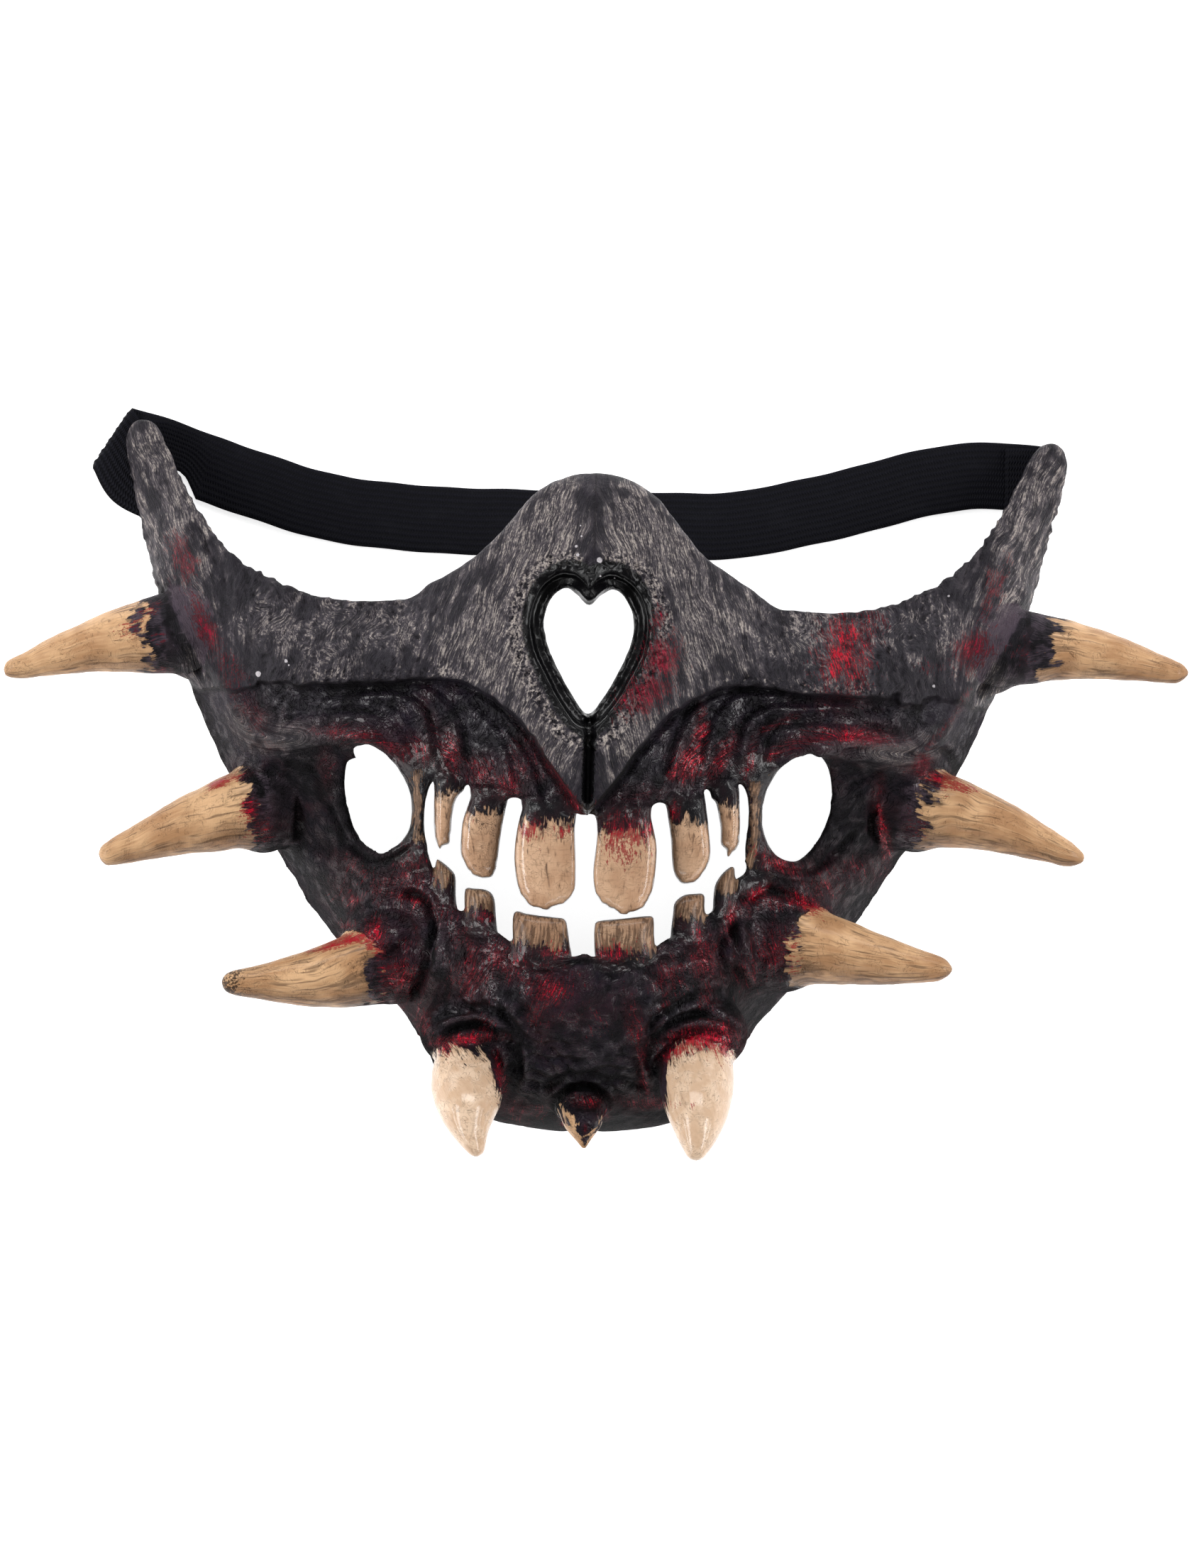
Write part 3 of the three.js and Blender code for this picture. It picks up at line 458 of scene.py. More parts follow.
for (hu, hv, hz), (ru, rv, rz) in HOODS:
    sl, z, u, v = box(hu - ru - 6, hu + ru + 6, hv - rv - 6, hv + rv + 6, hz - rz - 6, hz + rz + 6)
    x, y, w = (u - hu), (v - hv), (z - hz)
    k0 = np.sqrt((x / ru) ** 2 + (y / rv) ** 2 + (w / rz) ** 2) + 1e-6
    k1 = np.sqrt((x / ru**2) ** 2 + (y / rv**2) ** 2 + (w / rz**2) ** 2) + 1e-6
    field[sl] = smin(field[sl], np.clip(k0 * (k0 - 1) / k1, -3.5, 5), 4.0)
for name, (tip_u, rows, z_root, z_tip, u_root) in SPIKES.items():
    u0, u1 = sorted((tip_u, u_root))
    vv = [r[1] for r in rows]
    sl, z, u, v = box(u0 - 3, u1 + 3, min(vv) - 14, max(vv) + 14, z_root - 15, z_tip + 15)
    d = spike_parts(name, u, v, z)[0]
    over = np.abs(u) - abs(u_root)
    d = np.maximum(d, -over)
    field[sl] = smin(field[sl], np.clip(d, -3.5, 3.5), 1.6)
for name, (rows, tip_v, z_root, z_tip, v_root) in FANGS.items():
    uu = [r[1] for r in rows]
    sl, z, u, v = box(min(uu) - 14, max(uu) + 14, tip_v - 3, v_root + 3, z_root - 13, z_tip + 13)
    d = fang_parts(name, u, v, z)[0]
    d = np.maximum(d, v - v_root)
    field[sl] = smin(field[sl], np.clip(d, -3.5, 3.5), 1.2)
for k, z in enumerate(zs):
    f = field[k]
    f = np.maximum(f, np.minimum((G32 - np.float32(z)) * kG32, -Ein32))
    if 20 < z:
        f = smax(f, -H32, 1.3)
    elif z > 8:
        f = np.where((A < 66) & (V < 14) & (V > -22), smax(f, -H32, 1.3), f)
    field[k] = f
for name in TEETH:
    e, top = tooth_field(name)
    idx = np.argwhere(e < 2.5)
    (a0, b0), (a1, b1) = idx.min(0), idx.max(0) + 1
    zt = top[a0:a1, b0:b1][e[a0:a1, b0:b1] < 1]
    c0, c1 = np.searchsorted(zs, (zt.min() - 8, zt.max() + 5))
    sl = (slice(c0, c1), slice(a0, a1), slice(b0, b1))
    z = zs[c0:c1, None, None]
    e_, t_ = e[None, a0:a1, b0:b1], top[None, a0:a1, b0:b1]
    d = smax(smax(e_ + 0 * z, z - t_, 0.9), t_.clip(None, 200) - 4.6 - z, 1.4)
    field[sl] = smin(field[sl], np.clip(d, -3.5, 3.5), 1.1)
# flat where it stands, arched along the sides
R_ARCH = (57**2 + 8**2) / 16
for k, z in enumerate(zs):
    Vt = vs[None, :] * (EYE_H - z) / EYE_H
    arch = R_ARCH - np.hypot(Vt + 2, z - 8 + R_ARCH)
    field[k] = np.maximum(field[k], np.maximum(-z + 0.0, arch))
field[0] = np.maximum(field[0], 0.5)

# ------------------------------------------------------------------ skin of the field
grid = vdb.FloatGrid(3.0)
grid.copyFromArray(np.ascontiguousarray(field))
pts, quads = grid.convertToQuads(0.0)
del field, grid
P = np.stack([us[0] + pts[:, 1] * S, vs[0] + pts[:, 2] * S, zs[0] + pts[:, 0] * S], 1).astype(np.float64)


def vertex_normals(P, quads):
    n = np.cross(P[quads[:, 2]] - P[quads[:, 0]], P[quads[:, 3]] - P[quads[:, 1]])
    out = np.zeros_like(P)
    for k in range(4):
        for c in range(3):
            out[:, c] += np.bincount(quads[:, k], n[:, c], len(P))
    return out / np.maximum(np.linalg.norm(out, axis=1, keepdims=True), 1e-12), n


N, qn = vertex_normals(P, quads)
if (P[quads].mean(1) * qn).sum() < 0:
    quads = quads[:, ::-1].copy()
    N = -N

# ------------------------------------------------------------------ sculpted detail, as a map of mm moved outward
D = np.zeros(U.shape)


def groove(pts, depth, width, lift=0.4, side=1, fade=0.15, n=6):
    """A crease along a line, with a raised lip on one side, fading at both ends."""
    global D
    d, t, w = near(curve(pts, n), reach=width * 4 + 2)
    end = sstep(0, fade, t) * (1 - sstep(1 - fade, 1, t))
    s = d * w * side
    D = D - end * (depth * gauss(d, width) - lift * depth * gauss(s - 2.0 * width, 1.3 * width))


def ridge(pts, height, width, fade=0.2, n=6):
    global D
    d, t, w = near(curve(pts, n), reach=width * 4 + 2)
    D = D + sstep(0, fade, t) * (1 - sstep(1 - fade, 1, t)) * height * gauss(d, width)


# nose: rolled inner ring, and a second faint one
D = D + 0.75 * gauss(nose_e - 1.3, 0.55) - 0.5 * gauss(nose_e - 2.4, 0.6) + 0.35 * gauss(nose_e - 3.6, 0.7)
# lip of the armour plate and the undercut beneath it
lip = sstep(0, 3, A) * (1 - sstep(57, 68, A))
D = D + lip * (0.45 * gauss(plate_d - 1.0, 0.9) - 1.0 * gauss(plate_d + 0.9, 0.6))
# arched folds of the gum under the plate, left
groove(cheek_l((380, 555), (470, 525), (560, 505), (650, 490), (740, 480), (820, 480), (880, 500), (925, 545), (950, 610), (962, 700), (970, 745)), 0.8, 0.75, 0.6, -1)
groove(cheek_l((360, 620), (430, 585), (520, 560), (610, 550), (700, 553), (770, 572), (825, 615), (870, 680), (900, 730)), 0.7, 0.75, 0.7, -1)
groove(cheek_l((900, 455), (960, 480), (1015, 530), (1050, 600), (1065, 680), (1080, 760)), 0.6, 0.75, 0.6, -1)
groove(cheek_l((1060, 500), (1130, 560), (1180, 620), (1215, 700), (1235, 790), (1245, 850)), 0.6, 0.75, 0.6, -1)
groove(cheek_l((1180, 590), (1250, 660), (1300, 740), (1330, 830), (1345, 890)), 0.7, 0.7, 0.6, -1)
groove(cheek_l((400, 540), (500, 545), (600, 520), (700, 515), (790, 525), (850, 570), (885, 640), (905, 700)), 0.45, 0.5, 0.5, -1)
ridge(cheek_l((330, 665), (420, 682), (500, 670), (560, 645), (640, 632), (720, 645), (790, 685), (830, 725), (862, 765)), 0.8, 1.1)
groove(cheek_l((340, 690), (440, 700), (540, 685), (620, 665), (680, 660)), 0.8, 0.7, 0.3, -1)
# the same, right
groove(cheek_r((1120, 565), (1000, 540), (900, 530), (800, 525), (720, 520), (650, 530), (595, 560), (562, 600), (545, 660), (530, 730), (540, 770)), 0.8, 0.75, 0.6, 1)
groove(cheek_r((1180, 640), (1080, 618), (960, 600), (860, 590), (770, 590), (705, 605), (662, 640), (640, 700), (622, 760)), 0.7, 0.75, 0.7, 1)
groove(cheek_r((640, 465), (540, 490), (470, 550), (440, 620), (420, 690), (405, 760)), 0.6, 0.75, 0.6, 1)
groove(cheek_r((430, 500), (370, 560), (330, 640), (300, 720), (280, 800)), 0.8, 0.8, 0.6, 1)
groove(cheek_r((1100, 590), (980, 570), (860, 558), (760, 560), (690, 575), (640, 610), (610, 670), (598, 730)), 0.6, 0.5, 0.5, 1)
ridge(cheek_r((1200, 690), (1080, 672), (960, 664), (860, 672), (780, 695), (700, 735), (655, 785)), 0.8, 1.1)
groove(cheek_r((1200, 715), (1080, 695), (980, 688), (890, 690)), 0.9, 0.7, 0.3, 1)
# rims below the cheek openings
groove(cheek_l((565, 850), (590, 895), (610, 945), (640, 1005), (690, 1055), (745, 1080), (800, 1072), (850, 1045), (885, 1000)), 1.0, 0.7, 0.5, 1)
groove(cheek_r((650, 1088), (700, 1112), (770, 1120), (830, 1102), (880, 1055), (930, 1010), (965, 955)), 1.0, 0.7, 0.5, -1)
ridge(cheek_r((1036, 880), (1040, 950), (1058, 1030)), 1.3, 0.9)
groove(cheek_r((1015, 860), (1018, 950), (1040, 1040)), 1.2, 0.8, 0.2)
groove(cheek_l((500, 720), (540, 790), (560, 860), (600, 930)), 0.7, 1.0, 0.3)
# crease between the wings and the upper spikes, and over the middle spikes
groove(spike_u((790, 40), (838, 180), (885, 280), (950, 420), (1015, 560)), 2.0, 1.0, 0.3, 1, 0.1)
groove(cheek_r((1560, 210), (1500, 330), (1440, 430), (1380, 520)), 2.0, 1.0, 0.3, -1, 0.1)
groove(spike_u((1150, 1045), (1210, 1020), (1260, 1030), (1290, 1080), (1330, 1180)), 1.5, 0.9, 0.4, 1)
groove(cheek_r((1180, 760), (1205, 705), (1260, 690), (1300, 720), (1330, 790)), 1.5, 0.9, 0.4)
# folds round the lower side spikes
groove(spike_l((1050, 680), (1130, 675), (1185, 705), (1215, 760), (1235, 830), (1230, 890), (1200, 960), (1190, 1040), (1175, 1120), (1140, 1200), (1112, 1250)), 2.2, 0.9, 0.4, 1, 0.08)
groove(spike_l((880, 830), (960, 790), (1050, 790), (1110, 850), (1120, 950)), 0.8, 1.2, 0.3)
groove(spike_l((940, 1010), (1010, 980), (1080, 930), (1120, 940)), 0.7, 1.0, 0.5)
ridge(spike_r((215, 410), (270, 350), (320, 305), (365, 290)), 1.4, 0.8)
groove(spike_r((160, 365), (250, 385), (340, 325), (450, 350), (560, 385), (640, 430)), 1.7, 0.9, 0.3, -1, 0.1)
groove(spike_r((150, 510), (160, 620), (195, 720), (230, 820)), 1.6, 0.9, 0.5)
groove(spike_r((85, 600), (95, 700), (130, 790), (190, 870)), 1.2, 0.8, 0.5)
groove(spike_r((235, 520), (225, 600), (250, 690), (300, 740)), 1.0, 1.1, 0.4)
ridge(spike_r((200, 560), (240, 640), (250, 760)), 0.9, 1.0)
# folds over the fangs and the chin
for f in (
    (((150, 1085), (200, 1042), (270, 1022), (340, 1032), (400, 1082), (430, 1155), (425, 1235), (395, 1290)), 1.4, 0.9, 1),
    (((120, 1035), (190, 978), (280, 957), (370, 985), (432, 1052), (462, 1132)), 0.9, 1.0, 1),
    (((180, 1000), (260, 975), (330, 980), (395, 1020)), 0.6, 0.6, 1),
    (((925, 1235), (925, 1165), (955, 1115), (1010, 1078), (1080, 1052), (1150, 1052), (1190, 1082)), 1.4, 0.9, -1),
    (((885, 1130), (935, 1045), (1010, 1002), (1100, 986), (1180, 1012), (1232, 1062)), 0.9, 1.0, -1),
    (((1215, 640), (1203, 720), (1215, 800), (1240, 870)), 1.4, 0.8, 1),
    (((1165, 690), (1158, 765), (1190, 850)), 1.1, 0.8, 1),
    (((480, 1130), (540, 1150), (600, 1145), (665, 1162)), 0.6, 0.7, 1),
    (((515, 1080), (580, 1096), (645, 1085)), 0.6, 0.6, 1),
    (((465, 1190), (540, 1215), (605, 1210)), 0.6, 0.7, 1),
    (((380, 900), (440, 960), (480, 1030), (470, 1100)), 0.6, 1.2, 1),
    (((560, 1320), (562, 1285), (592, 1258), (642, 1243), (700, 1248), (742, 1280), (757, 1325)), 1.2, 0.7, 1),
    (((520, 1310), (545, 1245), (600, 1215), (670, 1205), (740, 1222), (790, 1275), (800, 1320)), 0.6, 0.9, 1),
    (((610, 1360), (640, 1325), (690, 1322), (720, 1350)), 0.7, 0.6, -1),
    (((425, 770), (520, 800), (620, 800), (700, 805), (800, 800), (900, 775)), 0.6, 0.7, 1),
    (((90, 600), (120, 680), (130, 760), (100, 840)), 0.6, 0.9, 1),
    (((880, 800), (930, 860), (940, 930), (900, 990)), 0.5, 1.0, -1),
    (((1000, 760), (1010, 830), (990, 900), (930, 960)), 0.5, 1.0, -1),
    (((230, 720), (250, 800), (240, 880), (200, 940)), 0.5, 1.0, 1),
):
    groove(mouth_c(*f[0]), f[1], f[2], 0.6, f[3])

# chin: shelf over the lower wall, folds round the fangs
chin = seen(600, 1300, 3.0)
for f in (
    (((385, 620), (420, 668), (490, 695), (545, 690), (590, 668)), 1.1, 0.7, -1),
    (((780, 660), (830, 668), (880, 690), (935, 725)), 1.0, 0.7, -1),
    (((300, 340), (335, 410), (375, 480), (398, 560), (396, 640), (370, 700)), 1.1, 0.7, -1),
    (((335, 500), (362, 560), (358, 640), (335, 715)), 1.2, 0.9, -1),
    (((50, 480), (110, 446), (200, 432), (270, 452), (330, 505)), 1.1, 0.8, 1),
    (((930, 480), (985, 405), (1065, 352), (1160, 306)), 1.5, 0.8, -1),
    (((940, 570), (960, 505), (1010, 450), (1085, 405), (1160, 388), (1225, 402)), 1.2, 0.8, -1),
    (((935, 620), (950, 560), (990, 512), (1040, 480)), 1.0, 0.7, -1),
    (((545, 850), (553, 780), (575, 735), (618, 702), (690, 696), (750, 722), (782, 775), (778, 835)), 1.3, 0.8, -1),
    (((430, 500), (500, 520), (560, 560), (600, 610), (640, 670)), 0.5, 0.5, 1),
    (((440, 470), (530, 480), (600, 520), (650, 570)), 0.45, 0.45, 1),
    (((450, 560), (510, 590), (560, 640), (590, 680)), 0.45, 0.45, 1),
    (((150, 340), (210, 370), (270, 420)), 0.45, 0.5, 1),
    (((120, 380), (190, 395), (250, 430)), 0.45, 0.5, 1),
    (((400, 180), (500, 205), (600, 175), (700, 165), (800, 180), (880, 160)), 0.8, 0.6, 1),
    (((740, 215), (800, 235), (860, 210), (905, 175)), 0.6, 0.5, 1),
    (((1270, 60), (1290, 140), (1330, 220), (1380, 290)), 1.3, 0.8, 1),
    (((1240, 90), (1255, 160), (1290, 240)), 1.0, 0.7, 1),
    (((870, 560), (905, 620), (915, 690), (905, 740)), 0.7, 0.6, 1),
    (((640, 690), (700, 640), (770, 620), (850, 640)), 0.6, 0.8, 1),
):
    groove(chin(*f[0]), f[1], f[2], 0.6, f[3])
cheek2 = seen(880, 780, 2.8846)
for f in (
    (((590, 750), (622, 698), (700, 662), (790, 652), (880, 660), (960, 690)), 0.8, 0.5, 1),
    (((700, 612), (790, 628), (880, 640), (980, 640), (1080, 650)), 0.7, 0.45, 1),
    (((850, 790), (930, 794), (1010, 806), (1100, 818), (1190, 815), (1240, 800)), 1.1, 0.7, 1),
    (((880, 960), (960, 930), (1020, 900), (1060, 880)), 0.7, 0.6, 1),
    (((900, 1010), (980, 960), (1050, 930)), 0.5, 0.5, 1),
    (((860, 1120), (920, 1100), (990, 1110)), 0.7, 0.6, 1),
):
    groove(cheek2(*f[0]), f[1], f[2], 0.6, f[3])

gum = (1 - sstep(-2, 0.5, plate_d)) * (1 - sstep(68, 84, A) * 0.6)
plate = sstep(-0.3, 0.8, plate_d) * (1 - sstep(0.2, 0.9, 1 - sstep(0, 5.5, np.abs(nose_e))))
# nested wrinkles, strongest on the upper gum
arch_d = np.hypot((A - 47) / 1.25, np.where(V > -4, V + 4, 0))
phase = arch_d / 3.1 + 0.55 * fbm(U, V, 9, 21)
upper_gum = gum * sstep(-5, 3, V) * sstep(8, 13, arch_d)
D = D + 0.24 * upper_gum * sstep(50, 64, A) * np.cos(2 * np.pi * phase)
lower = gum * (1 - sstep(-16, -8, V))
wrinkle = fbm(U + 3 * fbm(U, V, 12, 40), V * 1.7, 4.2, 33, 3, 0.55)
wrinkle2 = fbm(U * 1.3 + 2 * fbm(U, V, 7, 43), V * 1.6, 2.6, 36, 2, 0.55)
calm = 1 - sstep(46, 58, A) * (1 - sstep(4, 12, V))
puckered = np.clip(gauss(np.hypot((A - 25) / 1.3, V + 55), 9) + 0.8 * gauss(np.hypot(U + 13, (V + 62) / 0.8), 7), 0, 1)
D = D + calm * ((0.35 + 0.75 * puckered) * lower * (0.25 - np.abs(wrinkle)) + 0.4 * gum * (0.2 - np.abs(wrinkle2)))
D = D + 0.30 * gum * fbm(U, V, 9, 51) + 0.12 * gum * calm * fbm(U, V, 2.6, 55, 2)
horn_w = plate * sstep(70, 84, A)
across_h, along_h = (A - 85) * 0.936 - (V - 30) * 0.351, (A - 85) * 0.351 + (V - 30) * 0.936
sway = fbm(U, V, 14, 95)
strands = fbm(across_h + 1.2 * sway + np.sign(U) * 40, along_h * 0.13, 1.9, 91, 2)
ramp = sstep(-1.5, 2.0, across_h + 3.5)
D = D + 1.25 * horn_w * (0.25 - np.abs(strands)) * (0.35 + 0.65 * (1 - ramp))
relief = 1.25 * horn_w * (0.25 - np.abs(strands))
crumb = np.clip(gauss(nose_e - 6.6, 2.0) + 0.75 * gauss(plate_d - 1.6, 1.3) * sstep(24, 34, A) * (1 - sstep(60, 72, A)), 0, 1) * plate
D = D + 1.2 * crumb * fbm(U, V, 1.8, 131, 2)
curls = fbm(U + 3.0 * fbm(U, V, 9, 96), V * 0.62 + 3.0 * fbm(U, V, 8, 97), 2.0, 93, 2)
D = D + 0.95 * plate * (1 - sstep(74, 86, A)) * sstep(26, 40, A) * (0.22 - np.abs(curls))
relief = relief + 0.95 * plate * (1 - sstep(74, 86, A)) * sstep(26, 40, A) * (0.22 - np.abs(curls))
D = D + 0.22 * plate * fbm(U, V, 11, 61) + 0.14 * plate * fbm(U, V * 0.45, 2.4, 65, 2)
# ridge that runs from the horn down over the cheek, with a shallow valley outside it
D = D + 1.5 * gauss(ridge_d, 1.9) * (1 - sstep(40, 60, V))
rough_rim = gauss(holes, 2.0) + gauss(edge_all, 2.5) * np.maximum(calm, 0.3)
D = D + 0.25 * rough_rim * fbm(U, V, 3.0, 71, 2)
D = D - 0.5 * gauss(np.maximum(-edge_all - 0.5, 0), 1.5) * (V < 40)
cav = D.copy()

on_spike = np.zeros(len(P), int)
best = np.full(len(P), 0.7)
for i, name in enumerate(SPIKES):
    tip_u, rows, z_root, z_tip, u_root = SPIKES[name]
    m = (P[:, 0] * np.sign(tip_u) > abs(u_root)) & (np.abs(P[:, 1] - np.mean([r[1] for r in rows])) < 25)
    d = spike_parts(name, P[m, 0], P[m, 1], P[m, 2])[0]
    j = np.where(m)[0][np.abs(d) < 0.7]
    on_spike[j] = i + 1
for i, name in enumerate(FANGS):
    rows, tip_v, z_root, z_tip, v_root = FANGS[name]
    m = (P[:, 1] < v_root) & (np.abs(P[:, 0] - rows[0][1]) < 14) & (P[:, 2] > 30)
    d = fang_parts(name, P[m, 0], P[m, 1], P[m, 2])[0]
    j = np.where(m)[0][np.abs(d) < 0.7]
    on_spike[j] = 7 + i
tooth_map = np.full(U.shape, 9.0)
for name in TEETH:
    e, kind, bv = TEETH[name]
    along = (V - bv) if kind == "up" else (bv - V)
    tooth_map = np.minimum(tooth_map, np.maximum(e - 0.3, along * 0.6))
free = sstep(0, 2.5, sample(tooth_map, P[:, 0], P[:, 1])) * (on_spike == 0)
front = sstep(0.05, 0.45, N[:, 2]) * free
moved = sample(D, P[:, 0], P[:, 1]) * front
moved = moved + (0.10 * fbm(P[:, 0], P[:, 1] + P[:, 2], 4, 81, 2) * (on_spike > 0) * (on_spike < 7))
P = P + N * moved[:, None]
P[:, 2] = np.maximum(P[:, 2], 0.0)
high_z = P[:, 2] > 83.1
P[high_z, 2] = 83.1 + 0.6 * np.tanh((P[high_z, 2] - 83.1) / 0.6)

x, y, z = place(P[:, 0], P[:, 1], P[:, 2])
mesh = bpy.data.meshes.new("dragon_mouth_casting")
mesh.from_pydata([], [], [])
XYZ = (np.stack([x, y, z], 1) + SHIFT) / 1000
mesh.vertices.add(len(XYZ))
mesh.vertices.foreach_set("co", XYZ.astype(np.float32).ravel())
mesh.loops.add(quads.size)
mesh.loops.foreach_set("vertex_index", quads.astype(np.int32).ravel())
mesh.polygons.add(len(quads))
mesh.polygons.foreach_set("loop_start", np.arange(0, quads.size, 4, dtype=np.int32))
mesh.polygons.foreach_set("loop_total", np.full(len(quads), 4, np.int32))
mesh.update(calc_edges=True)
mask = bpy.data.objects.new("dragon_mouth_casting", mesh)
bpy.context.scene.collection.objects.link(mask)
print("dense mesh", len(XYZ), len(quads))


def bake_modifiers(o):
    dg = bpy.context.evaluated_depsgraph_get()
    m = bpy.data.meshes.new_from_object(o.evaluated_get(dg))
    o.modifiers.clear()
    o.data = m
    return m


TARGET = 194000
if len(quads) * 2 > TARGET:
    mod = mask.modifiers.new("fewer", "DECIMATE")
    mod.ratio = TARGET / (len(quads) * 2)
    mod.use_collapse_triangulate = True
    mesh = bake_modifiers(mask)

# keep the one connected body
nvx = len(mesh.vertices)
co = np.empty(nvx * 3, np.float32)
mesh.vertices.foreach_get("co", co)
co = co.reshape(-1, 3)
ed = np.empty(len(mesh.edges) * 2, np.int32)
mesh.edges.foreach_get("vertices", ed)
ed = ed.reshape(-1, 2)
label = np.arange(nvx)
while True:
    lo = np.minimum(label[ed[:, 0]], label[ed[:, 1]])
    new = label.copy()
    np.minimum.at(new, ed[:, 0], lo)
    np.minimum.at(new, ed[:, 1], lo)
    np.minimum.at(new, label[ed[:, 0]], lo)
    np.minimum.at(new, label[ed[:, 1]], lo)
    new = new[new]
    if (new == label).all():
        break
    label = new
main = np.bincount(label).argmax()
if (label != main).any():
    import bmesh
    bm = bmesh.new()
    bm.from_mesh(mesh)
    bm.verts.ensure_lookup_table()
    bmesh.ops.delete(bm, geom=[bm.verts[i] for i in np.where(label != main)[0]], context="VERTS")
    bm.to_mesh(mesh)
    bm.free()
    print("loose vertices removed", int((label != main).sum()))
mesh.polygons.foreach_set("use_smooth", np.ones(len(mesh.polygons), bool))

# ------------------------------------------------------------------ what the paint needs to know, per vertex
nvx = len(mesh.vertices)
co = np.empty(nvx * 3, np.float32)
mesh.vertices.foreach_get("co", co)
co = co.reshape(-1, 3).astype(np.float64) * 1000 - SHIFT
pz = co[:, 2]
pu = EYE_X + (co[:, 0] - EYE_X) * EYE_H / (EYE_H - pz)
pv = co[:, 1] * EYE_H / (EYE_H - pz)
nr = np.empty(nvx * 3, np.float32)
mesh.vertices.foreach_get("normal", nr)
nr = nr.reshape(-1, 3)

bone = np.full(nvx, -6.0)
kind = np.zeros(nvx)
flow = np.stack([co[:, 0], co[:, 1], pz], 1)
tone = np.zeros(nvx)                                       # depth of wash on bone
under, aged, root = np.zeros(nvx), np.zeros(nvx), np.zeros(nvx)
BONE_START = {"UL": 32.0, "UR": 31.5, "ML": 34.0, "MR": 36.5, "LL": 34.5, "LR": 37.0}
for name, (tip_u, rows, z_root, z_tip, u_root) in SPIKES.items():
    m = np.where((pu * np.sign(tip_u) > abs(u_root) - 2) & (np.abs(pv - np.mean([r[1] for r in rows])) < 26))[0]
    d, s, across, up = spike_parts(name, pu[m], pv[m], pz[m])
    ok = np.abs(d) < 0.9
    m, s, across, up, d = m[ok], s[ok], across[ok], up[ok], d[ok]
    ang = np.arctan2(across, up)
    start = BONE_START[name] + 1.5 * np.cos(ang + 2.0) + (2.0 * np.sin(ang) if name in ("LL",) else 0)
    bone[m] = np.clip(np.minimum(start - s, (0.9 - np.abs(d)) * 8), -6, 20)
    kind[m] = 0.5
    flow[m] = np.stack([ang * 6.0, s, np.full(len(m), 3.0 * list(SPIKES).index(name))], 1)
    tone[m] = s / 40
    # the side of each spike that faces down the mask; its bone gets a streaky brown wash and painted shade there
    turned = across / np.maximum(np.hypot(across, up), 0.3)
    under[m] = sstep(0.1, 0.9, -turned)
    root[m] = 1.0
    aged[m] = {"UL": 0.15, "UR": 0.45, "ML": 0.45, "MR": 0.55, "LL": 1.0, "LR": 0.75}[name]
for name in FANGS:
    rows, tip_v, z_root, z_tip, v_root = FANGS[name]
    m = np.where((pv < v_root + 1) & (np.abs(pu - rows[0][1]) < 15) & (pz > 30))[0]
    d, s, across, up = fang_parts(name, pu[m], pv[m], pz[m])
    ok = np.abs(d) < 0.9
    m, s, across, up, d = m[ok], s[ok], across[ok], up[ok], d[ok]
    start = {"FL": 25.0, "FR": 27.5, "CS": 6.0}[name]
    a = across / 8
    start = start - (3.2 * a * a + (2.2 * a if name == "FL" else -2.5 * a))
    turned = across / np.maximum(np.hypot(across, up), 0.3)
    start = start - (7.0 * sstep(0.62, 0.92, turned) if name == "FL" else 10.0 * sstep(0.68, 0.94, -turned))
    if name == "CS":
        side_ = across / np.maximum(np.hypot(across, up), 0.3)
        start = 2.6 + 5.0 * sstep(0.15, 0.55, -side_) + 2.4 * sstep(0.55, 0.85, side_)
    bone[m] = np.clip(np.minimum(start - s, (0.9 - np.abs(d)) * 8), -6, 20)
    kind[m] = 1.0 if name != "CS" else 0.5
    lean = math.radians({"FL": 38, "FR": 12, "CS": 0}[name])
    flow[m] = np.stack([across * math.cos(lean) + s * math.sin(lean), s * math.cos(lean) - across * math.sin(lean), up], 1)
    tone[m] = s / 28
t_attr = sample(tooth_map, pu, pv)
for name in TEETH:
    e, kd, bv = TEETH[name]
    ev = sample(e, pu, pv)
    _, top = tooth_field(name)
    tz = sample(top, pu, pv)
    m = np.where((ev < 0.7) & (np.abs(pz - tz + 2) < 4.5))[0]
    b = (bv - pv[m]) if kd == "up" else (pv[m] - bv)
    bone[m] = np.clip(b, -6, 20)
    kind[m] = 0.0
    tone[m] = (0.25 if kd == "up" else 0.75) + (0.2 if name[1] == "3" else 0)
# painted strips at the ends of the mouth
for pts, w in ((mouth_c((74, 110), (70, 170), (68, 250), (72, 330), (75, 385)), 1.05),
               (mouth_c((1278, 150), (1272, 210), (1276, 270), (1270, 340), (1262, 410), (1256, 470)), 1.15)):
    d, t, _ = near(curve(pts, 6), reach=8)
    dv = sample(d, pu, pv)
    tv = sample(t, pu, pv)
    m = np.where((dv < 6) & (nr[:, 2] > -0.2) & (pz > 25))[0]
    b = (w - dv[m]) * 1.6
    b = np.minimum(b, np.minimum(tv[m] - 0.02, 0.98 - tv[m]) * 40)
    b = np.where(np.abs(tv[m] - 0.5) < 0.495, b, -3)
    m, b = m[b > bone[m]], b[b > bone[m]]
    bone[m] = b
    tone[m] = 0.85

